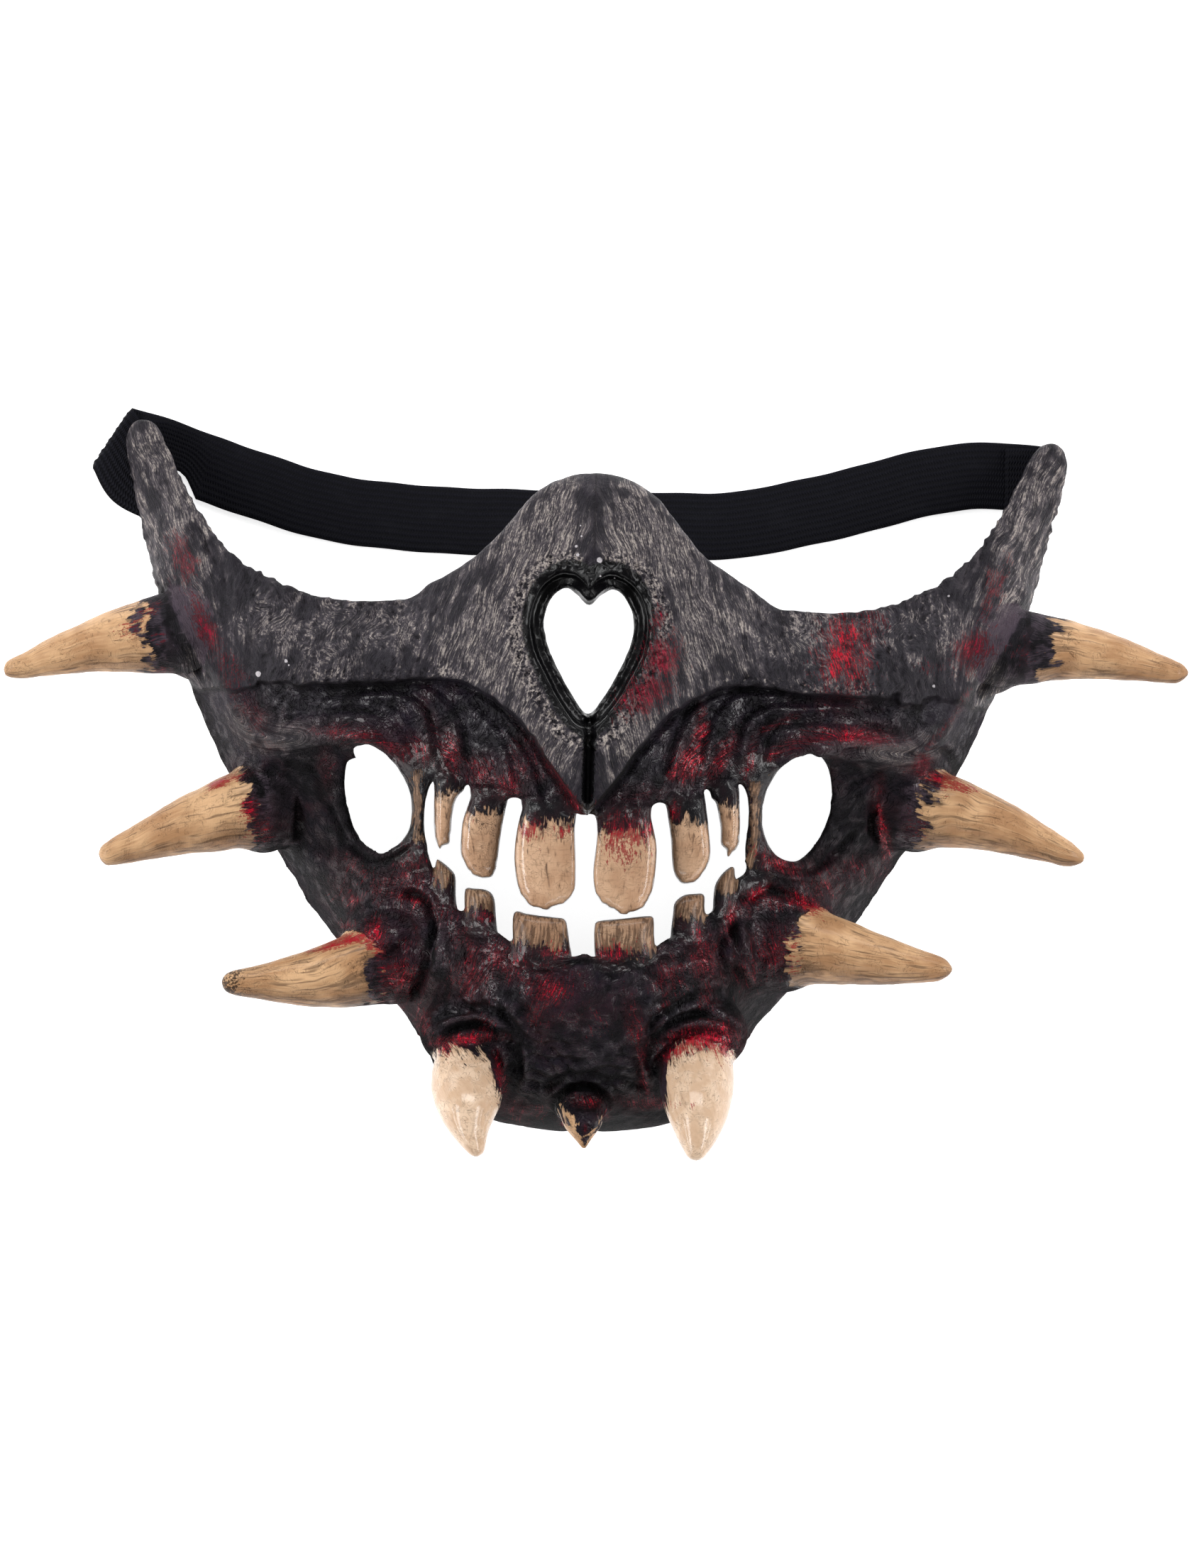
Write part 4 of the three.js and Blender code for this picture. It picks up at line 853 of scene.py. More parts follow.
# streak direction on the dark parts: x runs across the strands, y along them
a_ = np.abs(pu)
pd = sample(plate_d, pu, pv)
dark = bone < -5.9
w_horn = sstep(74, 88, a_)
across = a_ + 0.30 * pv
across = mix(across, (a_ - 85) * 0.936 - (pv - 30) * 0.351 + 103, w_horn)
gum_v = (1 - sstep(-1.5, 0.5, pd)) * (1 - 0.7 * gauss(sample(ridge_d, pu, pv), 3.6) * sstep(55, 66, a_))
arch_v = np.hypot((a_ - 47) / 1.25, np.where(pv > -4, pv + 4, 0))
across = mix(across, arch_v * 1.0, gum_v * sstep(-8, 0, pv))
flow[dark] = np.stack([across, pv, np.sign(pu) * 5.0], 1)[dark]

cavity = np.clip(sample(cav, pu, pv), -3, 3) * (nr[:, 2] > 0) * (bone < 0)
ne = sample(nose_e, pu, pv)
grey = sample(plate, pu, pv) * sstep(0.0, 0.3, nr[:, 2]) * (bone < -5.9)
for tip_u_, v_, r_ in ((-95, 33, 11), (96, 33.5, 11)):
    grey = grey * sstep(0.55, 1.15, np.hypot((pu - tip_u_ * 1.02) / (r_ * 0.62), (pv - v_) / r_))
low = 0.62 * gauss(np.hypot((a_ - 20) / 1.0, (pv - 32) / 2.2), 11) + 0.72 * gauss(np.hypot((a_ - 56) / 2.4, (pv - 34) / 1.1), 12)
low = low + 0.85 * gauss(np.hypot(a_ / 2.2, pv - 57), 11) + 0.70 * sstep(78, 92, a_) + 0.85 * gauss(np.hypot((a_ - 11) / 1.0, (pv - 7) / 1.1), 8)
low = low + sstep(36, 44, pv) * (0.30 * gauss(a_ - 8, 3.0) - 0.65 * gauss(pu + 0.5, 3.4))
over = 1.7 * sstep(38, 45, pv) * gauss(pu, 11)
low = np.clip(low, 0.12, 1) * (1 - (1 - sstep(3.0, 5.5, ne - over)) * (pz > 20))
grey = grey * low
# the horn's painted band runs on below the plate, along the cheek ridge
rd = sample(ridge_d, pu, pv)
run_on = gauss(rd, 3.6) * sstep(55, 66, a_) * (1 - sstep(12, 18, pv)) * sstep(-16, -6, pv) * sstep(0.1, 0.4, nr[:, 2]) * (bone < -5.9)
grey = np.maximum(grey, 0.52 * run_on)
# a smoother grey band outside the cheek ridge
rd = sample(ridge_d, pu, pv)
band = gauss(rd + 0.0, 7) * sstep(70, 78, a_) * 0.35 * sstep(-2, 8, pv)
gloss = np.clip((1 - sstep(3.5, 6.5, ne - over)) * (pz > 20) + gauss(pu, 1.7) * (pv < 17) * (pv > -9), 0, 1)
wing = sstep(34, 44, a_) * (1 - sstep(78, 88, a_)) * sstep(0, 1, pd)
horn_at = sstep(76, 88, a_) * sstep(14, 24, pv)
crumb_at = sample(crumb, pu, pv)
relief_at = sample(relief, pu, pv)
# painted shade: walls that turn steeply away below the plate, less on the outer flanks, and the sunken socket beside
# each cheek opening; the material darkens these near black and also roughens them and thins the coat
painted_shade_steep = np.maximum((1 - sstep(0.25, 0.62, nr[:, 2])) * (1 - sstep(4, 16, pv)), (1 - sstep(0.45, 0.85, nr[:, 2])) * (1 - sstep(-20, -6, pv)))
painted_shade_steep = np.maximum(painted_shade_steep * (1 - 0.55 * sstep(30, 48, a_)), 0.66 * (1 - sstep(0.75, 1.12, sample(socket, pu, pv)))) * (bone < -5.9)

red = np.zeros(nvx)


def patch(uv, ru, rv, ang=0.0, amp=1.0, top=True):
    """A dab of red paint: an ellipse with a soft field, made ragged by the material."""
    global red
    c, s = math.cos(math.radians(ang)), math.sin(math.radians(ang))
    x, y = pu - uv[0, 0], pv - uv[0, 1]
    q = np.hypot((x * c + y * s) / ru, (-x * s + y * c) / rv)
    red = np.maximum(red, amp * np.exp(-q**2 * 0.9))


L, Rr, C, KL, KR, KU = cheek_l, cheek_r, mouth_c, spike_l, spike_r, spike_u
for fn, px, ru, rv, ang, amp in (
    (L, (75, 30), 3.5, 9, 20, 0.85), (L, (148, 255), 3.0, 8, 28, 0.95), (L, (110, 170), 2, 6, 20, 0.6), (L, (235, 420), 4, 9, 30, 0.6),
    (L, (310, 560), 4, 9, 35, 0.62), (L, (660, 640), 13, 1.8, -6, 0.75), (L, (800, 680), 7, 2.6, -28, 0.85), (L, (900, 690), 5, 3.2, -30, 0.8),
    (L, (1010, 705), 4, 7, 20, 0.8), (L, (1110, 770), 6, 4.5, -20, 0.78), (L, (1210, 810), 5, 5, -20, 0.8), (L, (1290, 690), 4, 8, 38, 0.6),
    (L, (1390, 800), 1.4, 17, 38, 0.8), (L, (1440, 880), 1.4, 5, 45, 0.95), (L, (870, 1130), 8, 9, 20, 0.62), (L, (690, 1110), 8, 3, -20, 0.6),
    (L, (570, 760), 2.0, 7, 5, 0.5), (L, (1250, 745), 3, 5, 20, 0.6), (L, (940, 600), 2, 8, 15, 0.45), (L, (640, 1190), 6, 6, 0, 0.5),
    (Rr, (285, 365), 5.5, 8, -8, 0.98), (Rr, (230, 490), 9, 5.5, 35, 0.95), (Rr, (270, 225), 2.2, 4, 0, 0.85), (Rr, (180, 560), 5, 3, 40, 0.6),
    (Rr, (925, 345), 8.0, 13, -6, 1.0), (Rr, (1020, 240), 5, 4.5, 0, 0.72), (Rr, (880, 440), 7, 5, 0, 0.7), (Rr, (1370, 335), 5, 6.5, -40, 0.95),
    (Rr, (1440, 150), 2.5, 14, -22, 0.75), (Rr, (1250, 390), 8, 3, 20, 0.55), (Rr, (380, 730), 4.2, 6.5, -28, 1.0), (Rr, (412, 640), 1.8, 8, -4, 0.85),
    (Rr, (490, 715), 2.6, 7.5, -28, 0.9), (Rr, (590, 730), 1.6, 7, -8, 0.8), (Rr, (960, 640), 12, 2.8, -2, 0.95), (Rr, (740, 670), 7, 2.2, 22, 0.75),
    (Rr, (1000, 610), 8, 2, 0, 0.5), (Rr, (1540, 340), 4, 5, 0, 0.6), (Rr, (690, 1100), 4.5, 1.4, -35, 0.9), (Rr, (840, 1150), 8, 5, 20, 0.58),
    (Rr, (960, 1110), 6, 3, 0, 0.6), (Rr, (1150, 965), 3, 5, 0, 0.55), (Rr, (1040, 850), 1.6, 8, -8, 0.55), (Rr, (1055, 990), 1.0, 5.5, 12, 0.95),
    (Rr, (200, 850), 10, 3, 10, 0.5), (Rr, (820, 280), 3, 6, 0, 0.5),
    (C, (545, 895), 6.5, 6, 0, 0.85), (C, (380, 795), 10, 6, -20, 0.72), (C, (270, 830), 7, 8, 0, 0.7), (C, (235, 710), 4, 5, 0, 0.65),
    (C, (30, 520), 6, 12, 10, 0.6), (C, (540, 990), 5, 6, 0, 0.5), (C, (835, 1000), 3, 7, 10, 0.65), (C, (880, 1230), 1.5, 6, 8, 0.8),
    (C, (880, 1302), 10, 1.8, 0, 0.72), (C, (1090, 790), 5, 7, 0, 0.85), (C, (970, 850), 6, 6, 0, 0.7), (C, (1190, 630), 2.0, 4, -10, 1.0),
    (C, (1175, 690), 3, 4, 0, 0.6), (C, (860, 770), 9, 4, 0, 0.45), (C, (85, 1000), 3, 8, 10, 0.65), (C, (20, 890), 6, 5, 0, 0.8),
    (C, (1100, 930), 3, 8, 0, 0.6), (C, (450, 1330), 9, 4, 0, 0.5), (C, (700, 740), 3, 2, 0, 0.5), (C, (310, 1030), 3, 3, 0, 0.75),
    (C, (700, 1000), 10, 8, 0, 0.42), (C, (520, 1060), 4, 4, 0, 0.4), (C, (180, 620), 6, 4, 0, 0.55), (C, (1240, 610), 3, 3, 0, 0.6),
    (C, (235, 1078), 9.5, 1.8, 8, 1.08), (C, (168, 1105), 2, 2.5, 0, 1.0), (C, (368, 1195), 1.5, 6, 14, 1.0), (C, (1085, 1072), 10, 3.6, 8, 1.12),
    (C, (1010, 1105), 6, 2.0, 20, 1.0), (C, (1165, 1075), 3, 5, 0, 1.08), (C, (958, 1135), 3, 2, 25, 0.9), (C, (1050, 1305), 1.6, 0.7, -30, 0.9),
    (C, (688, 1300), 5, 2.0, -8, 0.85), (C, (735, 1340), 1.5, 2.0, 0, 0.75), (C, (590, 1375), 1.2, 2, 20, 0.7), (C, (670, 1400), 0.8, 1.5, 0, 0.8),
    (C, (480, 330), 3.8, 3.2, 0, 0.92), (C, (590, 330), 3.2, 1.4, 0, 0.95), (C, (770, 350), 2.5, 7.0, 0, 0.92), (C, (835, 345), 3.5, 7.0, 0, 0.92),
    (C, (890, 330), 2, 5, 0, 0.92), (C, (745, 400), 0.8, 4, 0, 0.85), (C, (815, 415), 0.8, 3, 0, 0.8), (C, (985, 270), 2.2, 4, 0, 0.85),
    (C, (245, 255), 1.8, 3.5, 0, 0.6), (C, (560, 765), 6, 1.8, 0, 0.8), (C, (765, 770), 6, 2.2, 0, 0.9), (C, (315, 640), 4, 2.6, 0, 0.75),
    (C, (120, 480), 1.8, 5, 0, 0.5), (C, (1035, 660), 4, 2, 0, 0.5), (C, (1280, 560), 4.6, 1.7, 38, 1.08), (C, (640, 262), 2, 1.0, -40, 0.85),
    (KL, (770, 920), 11, 1.7, 16, 1.1), (KL, (920, 880), 3.0, 5, -10, 1.0), (KL, (950, 960), 2.4, 4, 0, 0.9), (KL, (1050, 1120), 6.5, 7, 20, 0.92),
    (KL, (1110, 695), 6.5, 1.5, -14, 1.0), (KL, (1000, 1190), 6, 4, 0, 0.7), (KL, (820, 710), 2.5, 2.5, 0, 0.75), (KL, (780, 840), 3, 2, 0, 0.65),
    (KL, (1100, 940), 3, 4, -30, 0.6), (KL, (960, 620), 7, 5, 10, 0.6), (KL, (1110, 520), 3, 8, 0, 0.6), (KL, (1240, 740), 2, 4, -30, 0.6),
    (KU, (1110, 1080), 4.5, 1.3, 22, 1.1), (KU, (1250, 1210), 2.6, 4, 10, 1.05), (KU, (1190, 1050), 4.5, 1.6, 10, 0.8), (KU, (1320, 1320), 4, 4, 0, 0.8),
    (KU, (680, 300), 5, 3, 20, 0.6), (KU, (760, 200), 5, 2.5, 20, 0.7), (KU, (790, 360), 3, 4, 0, 0.6), (KU, (830, 520), 5, 1.6, 0, 0.75),
    (KU, (900, 20), 3, 5, 0, 0.5), (KR, (580, 400), 6.5, 2.4, -22, 1.1), (KR, (620, 430), 2.0, 2.0, 0, 1.0), (KR, (400, 700), 7, 8, 0, 0.75),
    (KR, (130, 480), 1.6, 3.5, 0, 1.1), (KR, (360, 390), 7, 2.5, -8, 0.7), (KR, (700, 300), 6, 5, -20, 0.65), (KR, (950, 210), 8, 4, 0, 0.55),
    (KR, (450, 170), 8, 2.6, -25, 0.85), (KR, (1090, 60), 1.5, 5, 0, 0.9), (KR, (220, 830), 6, 6, 0, 0.6), (KR, (60, 1240), 5, 6, 40, 0.9),
    (Rr, (1270, 795), 9, 2.2, -18, 1.05), (Rr, (1200, 740), 2.8, 3.6, 0, 0.95), (Rr, (1190, 960), 2.2, 4, 0, 0.6),
):
    patch(fn(px), ru, rv, ang, amp)
for fn, pts_, w_, amp in (
    (seen(380, 820, 3.92), ((330, 820), (450, 830), (620, 870), (750, 930), (900, 960), (1050, 1040), (1200, 1040), (1330, 1080), (1500, 1070)), 2.6, 0.52),
    (seen(60, 560, 3.564), ((620, 700), (700, 850), (780, 1000), (850, 1200), (1000, 1400)), 2.2, 0.55),
    (chin, ((160, 30), (190, 120), (175, 220), (180, 300)), 2.2, 0.62), (chin, ((230, 180), (300, 170), (380, 220), (440, 250)), 2.2, 0.62),
    (chin, ((1140, 20), (1170, 120), (1180, 230)), 2.2, 0.72), (chin, ((1010, 350), (1040, 260), (1070, 190)), 1.8, 0.66),
    (chin, ((860, 370), (900, 420), (905, 500), (915, 600)), 1.6, 0.70), (chin, ((470, 260), (480, 330), (470, 400)), 3.0, 0.68),
    (cheek2, ((200, 900), (240, 840), (290, 780), (325, 700)), 2.2, 0.92), (cheek2, ((340, 900), (390, 840), (440, 770)), 1.5, 0.80),
    (cheek2, ((490, 880), (510, 830), (520, 780)), 1.2, 0.80), (cheek2, ((590, 830), (660, 780), (760, 760), (860, 740), (960, 730), (1060, 755)), 1.6, 0.80),
    (cheek2, ((560, 720), (620, 690), (700, 665)), 1.4, 0.62), (cheek2, ((1035, 1030), (1050, 1090), (1075, 1180)), 1.1, 0.95),
    (cheek2, ((1400, 560), (1340, 660), (1280, 740), (1230, 790)), 1.2, 0.60), (cheek2, ((1490, 60), (1480, 160), (1450, 280)), 1.8, 0.62),
):
    d, t, _ = near(curve(fn(*pts_), 6), reach=w_ * 3 + 2)
    red = np.maximum(red, amp * gauss(sample(d, pu, pv), w_))
red = red * sstep(-0.2, 0.15, nr[:, 2])


def attribute(name, values):
    if values.ndim == 1:
        mesh.attributes.new(name, "FLOAT", "POINT").data.foreach_set("value", values.astype(np.float32))
    else:
        mesh.attributes.new(name, "FLOAT_VECTOR", "POINT").data.foreach_set("vector", values.astype(np.float32).ravel())


inside_v = (nr[:, 2] < -0.25) & (pz < sample(F, pu, pv) - 1.0)
for n_, v_ in (("bone", bone), ("kind", kind), ("tone", tone), ("cavity", cavity), ("grey", grey), ("band", band), ("gloss", gloss),
               ("wing", wing), ("red", red), ("gum", gum_v), ("flow", flow), ("back", inside_v.astype(float)),
               ("rimmed", 1 - sstep(0.18, 0.55, nr[:, 2])), ("horn", horn_at), ("crumb", crumb_at), ("relief", relief_at), ("painted_shade_steep", painted_shade_steep),
               ("under", under), ("aged", aged), ("root", root), ("at", np.stack([pu, pv, 0 * pu], 1))):
    attribute(n_, v_)

# ------------------------------------------------------------------ node shorthand
class Ex:
    """A socket that takes + - * / with numbers and other sockets."""
    def __init__(self, net, s):
        self.net, self.s = net, s

    def _m(self, op, b, swap=False):
        return self.net.math(op, b, self) if swap else self.net.math(op, self, b)

    def __add__(self, b): return self._m("ADD", b)
    def __radd__(self, b): return self._m("ADD", b)
    def __sub__(self, b): return self._m("SUBTRACT", b)
    def __rsub__(self, b): return self._m("SUBTRACT", b, True)
    def __mul__(self, b): return self._m("MULTIPLY", b)
    def __rmul__(self, b): return self._m("MULTIPLY", b)
    def __truediv__(self, b): return self._m("DIVIDE", b)


class Net:
    def __init__(self, name):
        self.mat = bpy.data.materials.new(name)
        self.mat.use_nodes = True
        self.t = self.mat.node_tree
        self.t.nodes.clear()
        self.x = 0

    def new(self, kind_, **props):
        n = self.t.nodes.new(kind_)
        n.location = ((self.x % 40) * 180, -(self.x // 40) * 220)
        self.x += 1
        for k, v in props.items():
            setattr(n, k, v)
        return n

    def put(self, sock, v):
        if isinstance(v, Ex):
            self.t.links.new(v.s, sock)
        elif v is not None:
            sock.default_value = v

    def math(self, op, a, b=None, c=None):
        n = self.new("ShaderNodeMath", operation=op)
        for i, v in enumerate((a, b, c)):
            if v is not None:
                self.put(n.inputs[i], v)
        return Ex(self, n.outputs[0])

    def attr(self, name, vec=False):
        n = self.new("ShaderNodeAttribute", attribute_name=name)
        return Ex(self, n.outputs["Vector" if vec else "Fac"])

    def scaled(self, v, x, y, z, add=(0, 0, 0)):
        n = self.new("ShaderNodeVectorMath", operation="MULTIPLY_ADD")
        self.put(n.inputs[0], v)
        n.inputs[1].default_value = (x, y, z)
        n.inputs[2].default_value = add
        return Ex(self, n.outputs[0])

    def noise(self, v, scale=1.0, detail=2.0, rough=0.5, dist=0.0):
        n = self.new("ShaderNodeTexNoise")
        self.put(n.inputs["Vector"], v)
        n.inputs["Scale"].default_value = scale
        n.inputs["Detail"].default_value = detail
        n.inputs["Roughness"].default_value = rough
        n.inputs["Distortion"].default_value = dist
        return Ex(self, n.outputs["Fac"])

    def voronoi(self, v, scale=1.0, feature="DISTANCE_TO_EDGE"):
        n = self.new("ShaderNodeTexVoronoi", feature=feature)
        self.put(n.inputs["Vector"], v)
        n.inputs["Scale"].default_value = scale
        return Ex(self, n.outputs["Distance"])

    def step(self, x, a, b, lo=0.0, hi=1.0):
        n = self.new("ShaderNodeMapRange", interpolation_type="SMOOTHSTEP")
        self.put(n.inputs[0], x)
        for i, v in zip((1, 2, 3, 4), (a, b, lo, hi)):
            self.put(n.inputs[i], v)
        return Ex(self, n.outputs[0])

    def mix(self, f, a, b, blend="MIX"):
        n = self.new("ShaderNodeMix", data_type="RGBA", blend_type=blend)
        self.put(n.inputs[0], f)
        for s, v in ((n.inputs[6], a), (n.inputs[7], b)):
            self.put(s, v if isinstance(v, Ex) else (*v, 1.0))
        return Ex(self, n.outputs[2])

    def lerp(self, f, a, b):
        n = self.new("ShaderNodeMix", data_type="FLOAT")
        self.put(n.inputs[0], f)
        self.put(n.inputs[2], a)
        self.put(n.inputs[3], b)
        return Ex(self, n.outputs[0])


def rgb(r, g, b):
    """Linear colour of a screen colour from 0 to 255."""
    return tuple(((c / 255) / 12.92 if c <= 10 else ((c / 255 + 0.055) / 1.055) ** 2.4) for c in (r, g, b))


# ------------------------------------------------------------------ painted latex
n = Net("painted_latex")
pos = Ex(n, n.new("ShaderNodeTexCoord").outputs["Object"])
mm = n.scaled(pos, 1000, 1000, 1000)
flow_s = n.attr("flow", True)
bone_a, kind_a, tone_a, cav_a = n.attr("bone"), n.attr("kind"), n.attr("tone"), n.attr("cavity")
grey_a, band_a, gloss_a, wing_a, red_a, gum_a, back_a, rimmed_a = (n.attr(k) for k in ("grey", "band", "gloss", "wing", "red", "gum", "back", "rimmed"))
horn_a, crumb_a, relief_a, painted_shade_steep_a, underside_wash_and_shade_a, aged_a, root_a = (n.attr(k) for k in ("horn", "crumb", "relief", "painted_shade_steep", "under", "aged", "root"))
warp = n.new("ShaderNodeTexNoise")
n.put(warp.inputs["Vector"], mm)
warp.inputs["Scale"].default_value = 0.11
warp.inputs["Detail"].default_value = 1.0


def bend(v, amp):
    """The coordinate, bent by the shared slow noise."""
    node = n.new("ShaderNodeVectorMath", operation="MULTIPLY_ADD")
    n.t.links.new(warp.outputs["Color"], node.inputs[0])
    node.inputs[1].default_value = amp
    n.put(node.inputs[2], v)
    return Ex(n, node.outputs[0])


bent = bend(mm, (13, 13, 0))
flow_s = bend(flow_s, (3.0, 2.0, 0))
big, mid, fine, tiny = n.noise(mm, 0.07, 2), n.noise(mm, 0.32, 2), n.noise(mm, 1.1, 2), n.noise(mm, 3.0, 1, 0.6)
strand = n.noise(n.scaled(flow_s, 4.0, 0.42, 1.0), 1.0, 2, 0.6)
strand2 = n.noise(n.scaled(flow_s, 1.9, 0.17, 1.0, (7, 3, 1)), 1.0, 1, 0.6)
hair = n.noise(n.scaled(flow_s, 7.0, 0.80, 1.0, (2, 6, 3)), 1.0, 1, 0.6)
lines = n.noise(n.scaled(flow_s, 0.9, 0.12, 1.0, (3, 8, 2)), 1.0, 1, 0.5)
fleck = n.noise(mm, 1.9, 2, 0.65)

# dark base: cool near-black skin, evenly coloured
base = n.mix(n.step(mid + cav_a * 0.10, 0.30, 0.70), rgb(17, 14, 19), rgb(37, 32, 41))
base = n.mix(n.step(big + gum_a * 0.04, 0.5, 0.7), base, rgb(34, 29, 40))
# smooth grey of the side band
base = n.mix(n.step(lines * 0.25 + band_a, 0.20, 0.50) * 0.50, base, rgb(62, 56, 67))
# dry-brushed plate: zones where the brush took, strokes and grooves within them
stroke = n.noise(n.scaled(bent, 3.3, 0.66, 1.0), 1.0, 2, 0.6)
stroke2 = n.noise(n.scaled(bent, 1.5, 0.40, 1.0, (3, 1, 6)), 1.0, 1, 0.55)
cord_like = n.noise(n.scaled(flow_s, 0.60, 0.040, 1.0, (4, 1, 7)), 1.0, 1, 0.5)
along = strand * 0.46 + strand2 * 0.20 + hair * 0.34
brushed = n.lerp(wing_a, along, stroke * 0.55 + stroke2 * 0.30 + fleck * 0.15)
brushed = n.lerp(crumb_a, brushed, fine * 0.70 + fleck * 0.30)
brushed = (brushed - 0.5) * 2.5 + 0.5 + relief_a * 0.30
zone = n.step(big * 0.34 + mid * 0.34 + cord_like * 0.32 + (grey_a - 0.45) * 0.34 - horn_a * 0.04 + crumb_a * 0.06, 0.43, 0.60)
grey_on = n.step(grey_a, 0.04, 0.22)
paint = n.mix(grey_on * 0.90, base, rgb(43, 40, 46))
paint = n.mix(zone * grey_on * 0.85, paint, rgb(70, 65, 71))
paint = n.mix(n.step(cord_like * 0.55 + mid * 0.45, 0.47, 0.64) * grey_on * (0.42 - wing_a * 0.34), paint, rgb(108, 101, 105))
light = n.step(brushed + (zone - 0.5) * 0.18 + crumb_a * 0.04, 0.54, 0.70) * (n.step(mid * 0.5 + fleck * 0.5, 0.36, 0.56) * 0.55 + 0.45)
lightg = n.mix(n.step(fleck * 0.5 + strand2 * 0.5, 0.42, 0.62), rgb(104, 97, 99), rgb(190, 179, 171))
paint = n.mix(light * (zone * 0.62 + 0.18 + crumb_a * 0.19 - wing_a * 0.16) * grey_on, paint, lightg)
paint = n.mix(n.step(brushed, 0.48, 0.24) * grey_on * (0.67 + crumb_a * 0.25), paint, rgb(20, 18, 22))
paint = n.mix(root_a * n.step(strand * 0.5 + mid * 0.5 + cav_a * 0.1, 0.36, 0.62) * 0.80, paint, rgb(84, 72, 82))
# painted highlights: a few lighter glints on the raised folds of the gum
painted_glint = n.step(strand * 0.5 + fine * 0.3 + cav_a * 0.40, 0.54, 0.78) * n.step(gum_a, 0.4, 0.8)
paint = n.mix(painted_glint * 0.22, paint, rgb(92, 80, 88))
# creases hold the wash
paint = n.mix(n.step(cav_a * -1.0 + (fine - 0.5) * 0.4, 0.30, 1.05) * 0.64, paint, rgb(8, 7, 9))
# painted shade: steep walls and the cheek sockets turned near black
paint = n.mix(painted_shade_steep_a * 0.90, paint, rgb(10, 9, 11))
lump = n.step(bone_a, -5.6, -4.6) * n.step(kind_a, 0.4, 0.1)
paint = n.mix(lump * 0.75, paint, rgb(11, 9, 13))
gloss_on = n.step(gloss_a + (fleck - 0.5) * 0.9, 0.36, 0.60)
paint = n.mix(gloss_on * 0.94, paint, rgb(7, 7, 8))
# splashes of white paint
at = n.attr("at", True)
for sx_, sy_, sr_ in ((812, 770, 0.42), (814, 782, 0.42), (845, 789.5, 0.70), (820, 756, 0.26), (364, 950, 0.72), (403, 931.5, 0.42), (407, 938, 0.22),
                      (1316, 967, 0.34), (1337, 840, 0.28), (818, 741, 0.2), (846, 812, 0.24), (866, 815, 0.2)):
    c_ = seen(0, 0, 1.0)((sx_, sy_))[0]
    far = n.new("ShaderNodeVectorMath", operation="DISTANCE")
    n.put(far.inputs[0], at)
    far.inputs[1].default_value = (float(c_[0]), float(c_[1]), 0.0)
    speck = n.step(Ex(n, far.outputs["Value"]) + (fine - 0.5) * 0.5, sr_, sr_ * 0.72)
    paint = n.mix(speck * 0.92, paint, rgb(206, 200, 204))

# bone
streak_b = n.noise(n.scaled(flow_s, 0.85, 0.085, 1.0), 1.0, 2, 0.6)
edge_n = n.noise(n.scaled(flow_s, 2.6, 0.30, 1.0, (9, 2, 1)), 1.0, 1, 0.6)
streak_f = n.noise(n.scaled(flow_s, 2.1, 0.16, 1.0, (1, 5, 2)), 1.0, 1, 0.6)
cross = n.noise(n.scaled(flow_s, 0.35, 2.6, 1.0, (2, 1, 4)), 1.0, 1, 0.6)
crack = n.noise(n.scaled(flow_s, 0.30, 0.36, 0.5, (5, 5, 5)), 1.0, 2, 0.55, 2.6)
soft = n.noise(mm, 0.11, 2)
spiky, fangy = n.step(kind_a, 0.1, 0.4), n.step(kind_a, 0.6, 0.9)
tooth_c = n.mix(n.step(soft * 0.7 + mid * 0.3, 0.40, 0.62), rgb(198, 156, 123), rgb(222, 182, 148))
spike_c = n.mix(n.step(soft * 0.6 + streak_b * 0.4, 0.36, 0.64), rgb(178, 135, 97), rgb(224, 182, 139))
fang_c = n.mix(n.step(mid, 0.36, 0.66), rgb(210, 177, 147), rgb(231, 202, 174))
bone_c = n.mix(fangy, n.mix(spiky, tooth_c, spike_c), fang_c)
near_root = n.step(bone_a, 12.0, 0.0)
cold = n.step(streak_b * 0.6 + streak_f * 0.4, 0.50, 0.66)
bone_c = n.mix(cold * n.lerp(fangy, 0.30, 0.10), bone_c, rgb(134, 98, 70))
low_t = n.step(tone_a, 0.62, 0.78) * (1.0 - spiky)
wash = n.step(n.lerp(low_t, streak_b * 0.55 + streak_f * 0.45, streak_b * 0.20 + streak_f * 0.50 + edge_n * 0.30) + near_root * 0.08 + low_t * 0.11 + aged_a * 0.07 + underside_wash_and_shade_a * 0.05, 0.60, 0.72)
bone_c = n.mix(wash * n.lerp(fangy, n.lerp(spiky, 0.72, 0.54), 0.30 * near_root), bone_c, rgb(70, 50, 39))
thin = n.step(n.math("ABSOLUTE", crack - 0.5), 0.010, 0.002) * n.step(mid, 0.42, 0.55)
bone_c = n.mix(thin * (near_root * 0.80 + 0.05), bone_c, rgb(40, 28, 24))
claw = n.step(n.noise(n.scaled(flow_s, 2.6, 0.42, 0.5, (3, 3, 9)), 1.0, 2, 0.6) * 0.6 + n.step(bone_a, 10.0, 0.0) * 0.22, 0.50, 0.56) * fangy
bone_c = n.mix(claw * 0.75, bone_c, rgb(52, 38, 34))
pits = n.step(fine + (tiny - 0.5) * 0.5, 0.76, 0.84) * n.step(mid, 0.5, 0.62)
bone_c = n.mix(pits * n.lerp(fangy, 0.6, 0.15), bone_c, rgb(62, 44, 36))
grain = n.step(cross, 0.56, 0.74) * (1.0 - spiky)
bone_c = n.mix(grain * 0.28, bone_c, rgb(128, 94, 70))
bone_c = n.mix(low_t * 0.52, bone_c, rgb(84, 62, 48))
